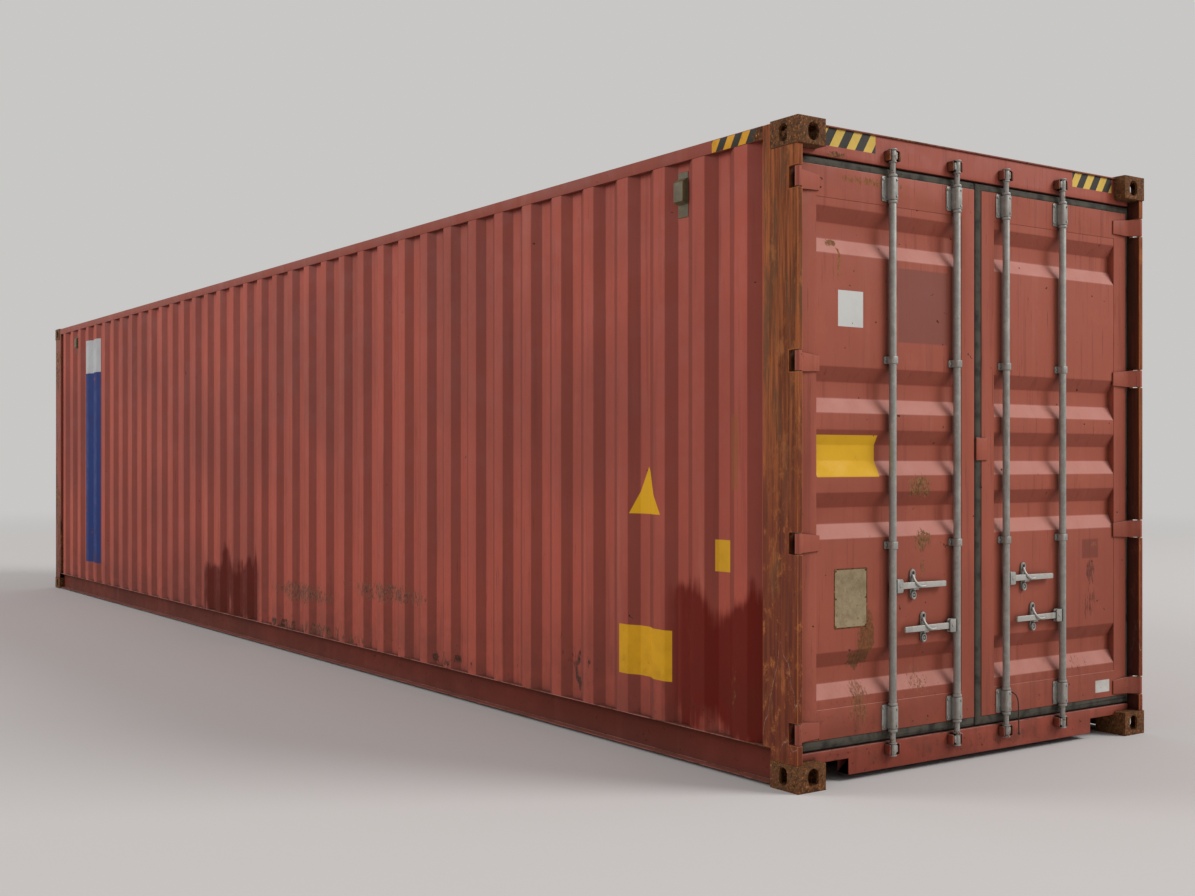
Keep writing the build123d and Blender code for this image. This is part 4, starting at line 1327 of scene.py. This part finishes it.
# ---------------------------------------------------------------- finishes of this container
class Finishes:
    """All the container's materials, made once."""

    def __init__(self) -> None:
        """Build each finish."""
        repaint = {"wear": 0.0, "gloss": 0.45, "drip": 0.9, "sheen": 0.1}
        side_marks = (
            Mark("#B4B5B7", (-4.944, -4.420), (2.340, 2.685), 0.2),
            Mark("#1D3470", (-4.944, -4.420), (0.366, 2.340), 0.15),
            Mark("#641509", (5.190, 5.640), (0.120, 0.800), soft=0.08, share=0.96, **repaint),
            Mark("#641509", (5.560, 5.900), (0.100, 0.800), soft=0.07, share=0.96, **repaint),
            Mark("#5E180C", (-1.275, -0.031), (0.100, 0.590), soft=0.07, share=0.94, **repaint),
            Mark("#D69D16", (4.784, 5.194), (0.364, 0.608), 0.08),
            Mark("#DAA312", (4.861, 5.123), (1.161, 1.395), 0.08, pointed=True),
            Mark("#CE981C", (5.509, 5.609), (0.913, 1.059), 0.12),
            Mark("#8A5428", (5.630, 5.699), (1.289, 1.627), 0.1, gloss=0.6, soft=0.012, share=0.5),
        )
        side_stains = (
            Stain(5.66, 0.40, (0.05, 0.28), "#9A6A44", "#4A2418", -0.25, 12.0, 4.0, 0.8),
            Stain(0.8, 0.46, (0.75, 0.10), "#8A5A44", "#4A2418", 0.2, 20.0, 1.8, 0.8),
            Stain(2.2, 0.56, (0.9, 0.10), "#8A5A44", "#4A2418", 0.1, 18.0, 1.8, 0.8),
            Stain(1.2, 0.20, (1.3, 0.09), "#84523A", "#3A1C12", 0.0, 30.0, 2.2, 0.85),
            Stain(0.38, 0.19, (0.45, 0.09), "#6A3A1E", "#2A150D", 0.1, 44.0, 1.2),
            Stain(4.42, 0.36, (0.42, 0.30), "#5E2E1C", "#2A150D", -0.3, 70.0, 2.2),
            Stain(3.0, 0.22, (0.9, 0.08), "#5E3018", "#2A150D", -0.2, 60.0, 1.5),
        )
        door_marks = (
            Mark("#D7A523", (-1.046, -0.664), (1.349, 1.535), 0.05),
            Mark("#C8C7C3", (-0.920, -0.766), (2.015, 2.175), 0.04),
            Mark("#7C4A42", (-0.542, -0.213), (1.961, 2.299), 0.08, gloss=0.6, soft=0.004, share=0.75),
            Mark("#C8C5BE", (0.899, 1.014), (0.229, 0.291), 0.15),
            Mark("#5A2C28", (0.792, 0.923), (0.924, 1.021), 0.3, gloss=0.6, soft=0.006, share=0.5),
        )
        door_stains = (
            Stain(-0.748, 0.640, (0.052, 0.115), "#7C4A28", "#63391D", 0.75, 30.0, 1.2),
            Stain(-0.785, 0.535, (0.070, 0.050), "#704222", "#53301A", 0.65, 26.0, 1.2),
            Stain(-0.79, 0.34, (0.080, 0.17), "#8E5C38", "#5E3A20", 0.15, 11.0, 5.0, 0.85),
            Stain(-0.400, 1.300, (0.105, 0.075), "#8E5E38", "#5E3A20", 0.3, 15.0, 2.0),
            Stain(-0.385, 1.055, (0.080, 0.065), "#8A5A36", "#5E3A20", 0.3, 14.0, 2.2),
            Stain(-0.385, 0.94, (0.030, 0.100), "#8E5F3C", "#643C22", 0.0, 10.0, 5.0, 0.9),
            Stain(-0.40, 0.40, (0.13, 0.13), "#96684A", "#6A4028", -0.15, 10.0, 4.0, 0.9),
            Stain(-0.948, 2.385, (0.05, 0.020), "#8A5A30", "#6A4224", 0.5, 22.0, 1.0),
            Stain(-0.915, 2.29, (0.014, 0.10), "#96602E", "#7A4A2A", 0.3, 12.0, 6.0),
            Stain(-0.72, 2.668, (0.36, 0.035), "#96602E", "#6A4020", 0.0, 9.0, 5.0, 0.8),
            Stain(0.86, 0.86, (0.045, 0.085), "#6A3426", "#4A2018", 0.3, 15.0, 3.0, 0.8),
            Stain(0.85, 0.70, (0.08, 0.12), "#6E3828", "#4A2018", 0.0, 14.0, 5.0, 0.7),
            Stain(0.70, 0.40, (0.28, 0.18), "#7A4434", "#4A2418", -0.4, 12.0, 4.0, 0.7),
        )
        header_marks = (
            Mark("#D0AE50", (-1.005, -0.690), (2.802, 2.884), 0.2, stripes=True),
            Mark("#D0AE50", (0.712, 1.032), (2.808, 2.884), 0.2, stripes=True),
        )
        header_stains = (
            Stain(-0.93, 2.768, (0.07, 0.018), "#8A5A34", "#4A2A18", 0.4, 16.0, 1.0),
            Stain(-0.5, 2.745, (0.5, 0.012), "#8A5A34", "#4A2A18", 0.2, 12.0, 1.0),
            Stain(0.1, 0.09, (1.0, 0.07), "#5E3A2A", "#43281C", -0.1, 46.0, 3.0, 0.4),
        )
        rail_marks = (Mark("#DFA028", (5.516, 5.874), (2.806, 2.887), 0.3, stripes=True),)
        rail_stains = (Stain(5.92, 2.85, (0.13, 0.12), "#74482C", "#3E2416", 0.7, 30.0, 1.0),)
        self.wall = AlkydPaint(
            "alkyd paint on the long side", plane=Plane.SIDE, marks=side_marks, stains=side_stains,
            base="#AA4935", shade="#953F2E", slope_shade_share=0.6, up_chalk_and_highlight=0.2,
        ).build()
        self.plain_wall = AlkydPaint("alkyd paint", slope_shade_share=0.5).build()
        self.door = AlkydPaint(
            "alkyd paint on the doors", base="#9C4E3A", shade="#8E4431", plane=Plane.DOORS,
            marks=door_marks, stains=door_stains, grime=0.3, up_chalk_and_highlight=0.85, speck_share=0.5,
        ).build()
        self.header = AlkydPaint(
            "alkyd paint on the header", base="#9A4937", plane=Plane.DOORS, marks=header_marks,
            stains=header_stains, speck_share=0.4,
        ).build()
        self.rail = AlkydPaint(
            "alkyd paint on the rails", base="#8C4335", plane=Plane.SIDE, marks=rail_marks,
            stains=rail_stains, speck_share=0.5, bleed_share=0.5,
        ).build()
        # Painted shade: the bottom rails take a darker copy of the rail paint.
        self.shaded_low_rail = AlkydPaint(
            "alkyd paint on the bottom rails", base="#6C2A1C", shade="#5C2216", chalk="#844A3A", up_chalk_and_highlight=0.2,
            speck_share=0.5, bleed_share=0.4, grime=0.3, sheen=0.15,
        ).build()
        self.post = RustedPost().build()
        # The rear posts' rounded edges: bright rust that is partly a painted highlight.
        self.post_edge = RustedPost("bright rust on the posts' edges", glow=0.7).build()
        self.edge = AlkydPaint(
            "worn paint at the edges", base="#7C4030", bare_share=0.55, speck_share=1.0
        ).build()
        self.casting = CastSteel().build()
        self.zinc = HotDipZinc().build()
        self.worn_zinc = HotDipZinc("rust-worn hot-dip zinc", rust_share=0.9).build()
        self.rubbed_zinc = HotDipZinc("rubbed hot-dip zinc", rust_share=0.55, plain="#B0ADA7").build()
        self.rubber = SealRubber().build()
        self.deck = PlywoodDeck().build()
        self.cover = MouldedCover().build()
        self.plate = EtchedPlate().build()
        self.rope = TwistedRope().build()


# ---------------------------------------------------------------- the container's parts
@dataclass
class Assembly:
    """What every group of parts has: the frame, the finishes and the ways to dress a node."""

    frame: Frame
    finishes: Finishes

    def soft(
        self, node: str, width: float, segments: int, material: Surface, edge: Surface | None = None
    ) -> None:
        """Round a node's edges, dress it and let it stand for the node.

        Args:
            node: the node.
            width: how far its rounded edges reach, in metres.
            segments: how many faces round each edge.
            material: the material of its faces.
            edge: the material of its rounded edges, if it is another one.
        """
        self.stand(self.frame.softened(node, width, segments), node, material, edge or material)

    def sheet(self, node: str, material: Surface) -> None:
        """Round the bends of a corrugated sheet, dress it and let it stand for the node."""
        self.stand(self.frame.bent(node, BEND_ROUND), node, material)

    def stand(self, piece: Piece, node: str, *materials: Surface) -> None:
        """Dress a finished piece, let it stand for its node and report it.

        Args:
            piece: the finished piece.
            node: the node that it stands for.
            materials: the materials of its slots.
        """
        dress(piece, *materials)
        self.frame.stands_for(piece, node)
        LOG.info("made %s", node)


@dataclass
class Structure(Assembly):
    """The welded steel box: castings, posts, rails, beams and sheets."""

    post_round: float = 0.005
    rail_round: float = 0.004
    casting_low: tuple[float, float, float] = (5.918, -HALF_WIDTH, 0.0)
    casting_high: tuple[float, float, float] = (HALF_LENGTH, -1.057, 0.118)
    casting_wall: float = 0.014
    bearing_plate: float = 0.0285
    casting_cap: float = 0.012

    def build(self) -> None:
        """Dress every node of the box."""
        paint = self.finishes
        self._castings()
        self.soft("rear_corner_posts", self.post_round, 3, paint.post, paint.post_edge)
        self.soft("front_corner_posts", self.post_round, 2, paint.edge)
        for node, material in (
            ("top_side_rails", paint.rail),
            ("bottom_side_rails", paint.shaded_low_rail),
            ("front_top_rail", paint.plain_wall),
            ("front_sill", paint.plain_wall),
            ("door_header", paint.header),
            ("door_sill", paint.header),
        ):
            self.soft(node, self.rail_round, 2, material, paint.edge)
        self.sheet("side_wall_left", paint.wall)
        for node in ("side_wall_right", "front_wall", "roof"):
            self.sheet(node, paint.plain_wall)
        for node in ("cross_members", "gooseneck_tunnel_top", "gooseneck_tunnel_walls"):
            self.soft(node, 0.0015, 1, paint.plain_wall, paint.edge)
        self.soft("floor", 0.001, 1, paint.deck)
        self.soft("hinge_pins", 0.001, 1, paint.worn_zinc)
        self.soft("cam_keepers", 0.003, 3, paint.edge)
        self.soft("ventilators", 0.004, 3, paint.cover)
        self._gutter()

    def _casting(self) -> Piece:
        """Model the rear bottom left casting: a hollow box with a slot and two tall round-ended holes.

        Returns:
            The casting.
        """
        low, high, wall = self.casting_low, self.casting_high, self.casting_wall
        body = block("casting", low, high)
        inside = [[low[i] + wall, high[i] - wall] for i in range(2)]
        hollow = block(
            "casting_hollow",
            (inside[0][0], inside[1][0], self.bearing_plate),
            (inside[0][1], inside[1][1], high[2] - self.casting_cap),
        )
        cut(body, hollow)
        depth = 0.05
        slot = ((5.9925, -1.1295, 0.01), UP, OUT, 0.1245, 0.03175, depth)
        side_hole = ((6.001, -1.212, 0.061), (0, -1, 0), UP, 0.0795, 0.0255, depth)
        end_hole = ((6.089, -1.1295, 0.061), OUT, UP, 0.0795, 0.03175, depth)
        for number, plan in enumerate((slot, side_hole, end_hole)):
            cut(body, capsule(f"casting_cutter_{number}", *plan))
        return soften(body, 0.005, 3, 50)

    def _castings(self) -> None:
        """Put the casting at all eight corners, two to a node."""
        pattern = self._casting()
        for end, turn_x in (("rear", 1), ("front", -1)):
            for level, turn_z, lift in (("bottom", 1, 0.0), ("top", -1, HEIGHT)):
                flips = [(turn_x, side, turn_z) for side in (1, -1)]
                pair = [copied(pattern, "casting_copy", (0, 0, lift), flip) for flip in flips]
                node = f"corner_castings_{end}_{level}"
                self.stand(joined(f"{node}_dressed", pair), node, self.finishes.casting)
        removed(pattern)

    def _gutter(self) -> None:
        """Add the narrow rain strip along the top of the door header."""
        strip = block("rain_strip", (LEAF_FACE - 0.001, -1.056, 2.882), (LEAF_FACE + 0.007, 1.056, 2.8895))
        soften(strip, 0.002)
        dress(strip, self.finishes.edge)
        self.frame.joins(strip, "door_header")
        LOG.info("added the rain strip")


@dataclass
class BarPlan:
    """One locking bar: its place across the doors, the way its handle points and where the catch is."""

    number: int
    y: float
    hand: int
    handle_z: float
    catch: float


BARS = (
    BarPlan(1, -0.603648, 1, 0.852, 0.150),
    BarPlan(2, -0.175104, -1, 0.652, 0.210),
    BarPlan(3, 0.175104, 1, 0.852, 0.150),
    BarPlan(4, 0.603648, -1, 0.652, 0.210),
)
BRACKET_MIDDLES = (0.262, 2.650)
CLAMP_MIDDLES = (1.039, 1.8755)


@dataclass
class Bearing:
    """The brackets and clamps that a locking bar turns in."""

    finishes: Finishes
    plate: float = 0.005
    corner: float = 0.009
    stand_off: float = BAR_X - LEAF_FACE
    hood_radius: float = 0.0203
    hood_round: float = 0.012
    tall_hood: float = 0.05

    def model(
        self, name: str, back: float, size: Sequence[float], hood: float, bolts: Sequence[Sequence[float]]
    ) -> Piece:
        """Model a bearing about the foot of its bar on the leaf's face.

        Args:
            name: the name of the piece.
            back: how far behind the leaf's face its plate starts.
            size: the plate's width and height.
            hood: the height of the pressed hood.
            bolts: where the bolt heads sit on the plate.

        Returns:
            The bearing.
        """
        wide, tall = size[0] / 2, size[1] / 2
        plate = block(name, (-back, -wide, -tall), (self.plate, wide, tall))
        soften(round_corners(plate, 0, self.corner), 0.0012)
        reach = self.stand_off + self.hood_radius
        cover = block("hood", (0, -self.hood_radius, -hood / 2), (reach, self.hood_radius, hood / 2))
        round_corners(cover, 2, self.hood_round, lambda middle: middle.x > reach / 2)
        soften(cover, 0.003, 3, 60)
        heads = []
        for y, z in bolts:
            heads.append(stud("bolt", (self.plate - 0.001, y, z), OUT, 0.0062, 0.0062, 12, 0.0025))
        if hood > self.tall_hood:
            for z in (-0.037, 0.037):
                heads.append(stud("hood_bolt", (reach - 0.002, 0.006, z), OUT, 0.0055, 0.0055, 12, 0.002))
        for piece in (plate, cover):
            dress(piece, self.finishes.zinc)
        for head in heads:
            dress(head, self.finishes.worn_zinc)
        return joined(name, [plate, cover, *heads])


@dataclass
class DoorLeaf(Assembly):
    """One door leaf with its panel, seal, hinges, brackets and catches."""

    side: str
    ridge_inset: float = 0.007
    ridge_rise: float = 0.002
    plate_y: tuple[float, float] = (-0.945, -0.741)
    plate_z: tuple[float, float] = (0.678, 0.944)
    plate_rim: float = 0.006
    rope_length: float = 0.235

    def build(self) -> None:
        """Dress every node of the leaf."""
        paint, leaf = self.finishes, f"{self.side}_door"
        self.soft(f"{leaf}_frame", 0.003, 2, paint.door)
        self.sheet(f"{leaf}_panel", paint.door)
        self._gasket()
        self.soft(f"{leaf}_hinges", 0.003, 3, paint.door, paint.edge)
        self._brackets()
        self._catches()
        if self.side == "right":
            self.soft(f"{leaf}_seam_plate", 0.002, 2, paint.door, paint.edge)
            self._rope()
        else:
            self._data_plate()

    def _gasket(self) -> None:
        """Raise a low ridge along the front of the seal, then round and dress it."""
        node = f"{self.side}_door_gasket"
        seal = self.frame.merged(node)
        front = max(vertex.co.x for vertex in seal.data.vertices)
        select_parts(seal, "FACE", lambda part: part.normal.x > 0.99 and part.center.x > front - 1e-4)
        bpy.ops.mesh.inset(thickness=self.ridge_inset)
        bpy.ops.transform.translate(value=(self.ridge_rise, 0, 0))
        leave_edit()
        self.stand(soften(seal, 0.0025, 2, 20), node, self.finishes.rubber)

    def _bars(self) -> list[BarPlan]:
        """The two bars on this leaf."""
        return [bar for bar in BARS if (bar.y < 0) == (self.side == "left")]

    def _brackets(self) -> None:
        """Model a bracket and a clamp, and put them along both bars of the leaf."""
        bearing = Bearing(self.finishes)
        bolts = [(y, z) for y in (-0.041, 0.041) for z in (-0.042, 0.042)]
        bracket = bearing.model("bracket", 0.0, (0.100, 0.114), 0.102, bolts)
        step = LEAF_FACE - PANEL_FACE
        clamp = bearing.model("clamp", step, (0.070, 0.034), 0.034, [(-0.028, 0), (0.028, 0)])
        pieces = []
        for bar in self._bars():
            for pattern, middles in ((bracket, BRACKET_MIDDLES), (clamp, CLAMP_MIDDLES)):
                pieces += [copied(pattern, "bearing", (LEAF_FACE, bar.y, z)) for z in middles]
        removed(bracket)
        removed(clamp)
        self._gear("door_bar_brackets", pieces)

    def _catches(self) -> None:
        """Model the catch that holds a handle, and put one under each handle of the leaf."""
        plate = capsule("catch", (0.002, 0, 0.004), OUT, UP, 0.136, 0.0175, 0.008)
        cut(plate, rod("catch_hole", (-0.02, 0, 0.054), OUT, 0.0065, 0.05, 20))
        soften(plate, 0.0015, 2, 50)
        saddle = soften(block("saddle", (-0.002, -0.0175, -0.0214), (0.0276, 0.0175, -0.0156)), 0.0015)
        lip = ring("catch_lip", (0.0062, 0, 0.054), OUT, 0.0105, 0.006, 1.15)
        eye = ring("catch_eye", (0.0105, 0, -0.047), OUT, 0.0125, 0.0085, 1.25)
        knob = soften(rod("catch_knob", (0.004, 0, -0.047), OUT, 0.0062, 0.009, 16), 0.002, 2, 50)
        pattern = joined("catch", [plate, saddle, smoothed(lip), smoothed(eye), knob])
        pieces = [
            copied(pattern, "catch", (LEAF_FACE, bar.y + bar.hand * bar.catch, bar.handle_z))
            for bar in self._bars()
        ]
        removed(pattern)
        self._gear("door_handle_catches", pieces)

    def _gear(self, part: str, pieces: list[Piece]) -> None:
        """Join new pieces in zinc and let them stand for their node."""
        node = f"{self.side}_{part}"
        self.stand(joined(f"{node}_dressed", pieces), node, self.finishes.zinc, self.finishes.worn_zinc)

    def _data_plate(self) -> None:
        """Rivet the bare data plate to the left panel, with a raised dark rim."""
        y, z, rim = self.plate_y, self.plate_z, self.plate_rim
        plate = block("data_plate", (PANEL_FACE - 0.0005, y[0], z[0]), (PANEL_FACE + 0.0012, y[1], z[1]))
        round_corners(plate, 0, rim)
        select_parts(plate, "FACE", lambda part: part.normal.x > 0.9)
        bpy.ops.mesh.inset(thickness=rim)
        bpy.ops.transform.translate(value=(-0.0006, 0, 0))
        leave_edit()
        soften(plate, 0.0004)
        rivets = []
        for side in (0, 1):
            inward = 0.011 if side == 0 else -0.011
            for share in (0.04, 0.5, 0.96):
                place = (PANEL_FACE + 0.0002, y[side] + inward, z[0] + share * (z[1] - z[0]))
                rivets.append(soften(rod("rivet", place, OUT, 0.0042, 0.0028, 12), 0.0014, 2, 50))
        piece = joined("data_plate", [plate, *rivets])
        middle = (y[0] + y[1]) / 2
        for face in piece.data.polygons:
            edge = abs(face.center.y - middle) > 0.0965 or not z[0] + rim < face.center.z < z[1] - rim
            face.material_index = int(edge or face.center.x > PANEL_FACE + 0.00125)
        dress(piece, self.finishes.plate, self.finishes.casting)
        self.frame.joins(piece, f"{self.side}_door_handle_catches")
        LOG.info("added the data plate")

    def _rope(self) -> None:
        """Hang the tie rope beside the third bar, with its knot, in place of its plain tube."""
        start = Vector((LEAF_FACE + 0.005, 0.218104, 0.300))
        steps = ((0, 0, 0), (27, 0, 0), (45, 10, -24), (40, 22, -82), (30, 34, -144), (26, 42, -204))
        rope = strand("tie_rope", start, steps, 0.003, 12)
        end = start + Vector(steps[-1]) / 1000
        turns = (((0, 0, -0.001), UP), ((0, 0.001, 0.003), (0.5, 0.3, 1)), ((0.001, 0, 0), (1, 0.4, 0.2)))
        wraps = [smoothed(ring("wrap", end + Vector(shift), axis, 0.0042, 0.0055)) for shift, axis in turns]
        knot = joined("rope_knot", wraps)
        for piece in (rope, knot):
            piece.data.materials.clear()
            piece.data.materials.append(self.finishes.rope)
        self.frame.stands_for(rope, "door_tie_rope")
        self.frame.joins(knot, "door_tie_rope")
        LOG.info("hung the tie rope")


def smoothed(obj: Piece) -> Piece:
    """Shade a rounded piece smooth all over."""
    smooth(obj, 60)
    return obj


@dataclass
class LockingGear(Assembly):
    """The four locking bars with their cams and forks, and their handles."""

    bar_radius: float = 0.017
    neck_radius: float = 0.0128
    bar_ends: tuple[float, float] = (0.195, 2.717)
    cam_middles: tuple[float, float] = (0.117, 2.799)
    half_handle: float = 0.005
    clean_span: tuple[float, float] = (0.16, 2.75)

    def build(self) -> None:
        """Model the bars and handles once and put them in their four places."""
        column, cam, fork, grip = self._column(), self._cam(), self._fork(), self._grip()
        for bar in BARS:
            flip = (1, bar.hand, 1)
            pieces = [copied(column, "column", (BAR_X, bar.y, 0))]
            pieces += [copied(cam, "cam", (BAR_X, bar.y, z), flip) for z in self.cam_middles]
            pieces.append(copied(fork, "fork", (BAR_X, bar.y, bar.handle_z), flip))
            self._gear(f"lock_bar_{bar.number}", pieces, self.finishes.zinc)
            handle = [
                copied(grip, "grip", (BAR_X, bar.y, bar.handle_z), flip),
                self._hasp((BAR_X, bar.y + bar.hand * bar.catch, bar.handle_z)),
            ]
            self._gear(f"handle_{bar.number}", handle, self.finishes.rubbed_zinc)
        for pattern in (column, cam, fork, grip):
            removed(pattern)

    def _gear(self, node: str, pieces: list[Piece], metal: Surface) -> None:
        """Join new pieces, wear those past the brackets and let them stand for their node.

        Args:
            node: the node that they stand for.
            pieces: the new pieces.
            metal: the material between the brackets.
        """
        piece = joined(f"{node}_dressed", pieces)
        low, high = self.clean_span
        for face in piece.data.polygons:
            face.material_index = int(not low < face.center.z < high)
        self.stand(piece, node, metal, self.finishes.worn_zinc)

    def _column(self) -> Piece:
        """Model the bar with its collars beside the brackets and its thinner necks.

        Returns:
            The bar.
        """
        low, high = self.bar_ends
        pieces = [stud("tube", (0, 0, low), UP, self.bar_radius, high - low, 32, 0.003)]
        for start, stop in ((self.cam_middles[0], low + 0.004), (high - 0.004, self.cam_middles[1])):
            pieces.append(smoothed(rod("neck", (0, 0, start), UP, self.neck_radius, stop - start, 24)))
        for middle in BRACKET_MIDDLES:
            for sign in (1, -1):
                foot = middle + sign * 0.0525 - (0.013 if sign < 0 else 0)
                pieces.append(stud("collar", (0, 0, foot), UP, 0.0212, 0.013, 28, 0.003))
        return joined("column", pieces)

    def _cam(self) -> Piece:
        """Model the forged cam: a hub between two flanges, with one blunt horn.

        Returns:
            The cam.
        """
        hub = stud("hub", (0, 0, -0.025), UP, 0.0155, 0.05, 24, 0.002)
        horn = block("horn", (-0.010, 0, -0.023), (0.010, 0.026, 0.023))
        select_parts(horn, "FACE", lambda part: part.normal.y > 0.9)
        bpy.ops.transform.resize(value=(0.8, 1, 0.66), center_override=(0, 0.026, 0.004))
        leave_edit()
        soften(horn, 0.004, 3)
        flanges = [
            stud("flange", (0, 0, z), UP, radius, 0.006, 24, 0.002)
            for z, radius in ((0.0245, 0.0205), (-0.0305, 0.0185))
        ]
        return joined("cam", [hub, horn, *flanges])

    def _fork(self) -> Piece:
        """Model the two plates and the web that hold the handle's rivet.

        Returns:
            The fork.
        """
        pieces = [block("web", (-0.0115, 0, -0.031), (0.0115, 0.020, 0.031))]
        for side in (-1, 1):
            x = sorted((side * 0.0055, side * 0.0115))
            plate = block("fork_plate", (x[0], 0.004, -0.031), (x[1], 0.058, 0.031))
            pieces.append(round_corners(plate, 0, 0.008, lambda middle: middle.y > 0.03))
        for piece in pieces:
            soften(piece, 0.0015)
        pieces.append(stud("rivet", (-0.014, 0.040, 0), OUT, 0.0075, 0.028, 16, 0.0025))
        return joined("fork", pieces)

    def _grip(self) -> Piece:
        """Model the flat handle, which narrows towards its rounded tip.

        Returns:
            The handle.
        """
        half = self.half_handle
        grip = block("grip", (-half, 0.025, -0.015), (half, 0.350, 0.015))
        select_parts(grip, "VERT", lambda part: part.co.y > 0.3)
        bpy.ops.transform.resize(value=(1, 1, 0.86), center_override=(0, 0.35, -0.010))
        leave_edit()
        return soften(round_corners(grip, 0, 0.006), 0.0018, 3)

    def _hasp(self, place: tuple[float, float, float]) -> Piece:
        """Bend the hasp that comes down from the catch and crosses the handle.

        Args:
            place: where the handle lies in its catch.

        Returns:
            The hasp.
        """
        steps = ((-12, -7, 44), (-6, -8, 30), (5, -5, 14), (9, 6, 2), (9, 22, -7), (8, 44, -8), (6, 58, -6))
        activate(strand("hasp", place, steps, 0.0062, 6))
        bpy.ops.object.convert(target="MESH")
        return smoothed(bpy.context.object)


def main() -> None:
    """Build the studio and every part of the container."""
    logging.basicConfig(level=logging.INFO, format="%(message)s")
    frame = Frame.load()
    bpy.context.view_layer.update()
    Studio().build()
    finishes = Finishes()
    Structure(frame, finishes).build()
    for side in ("left", "right"):
        DoorLeaf(frame, finishes, side).build()
    LockingGear(frame, finishes).build()


if __name__ == "__main__":
    main()
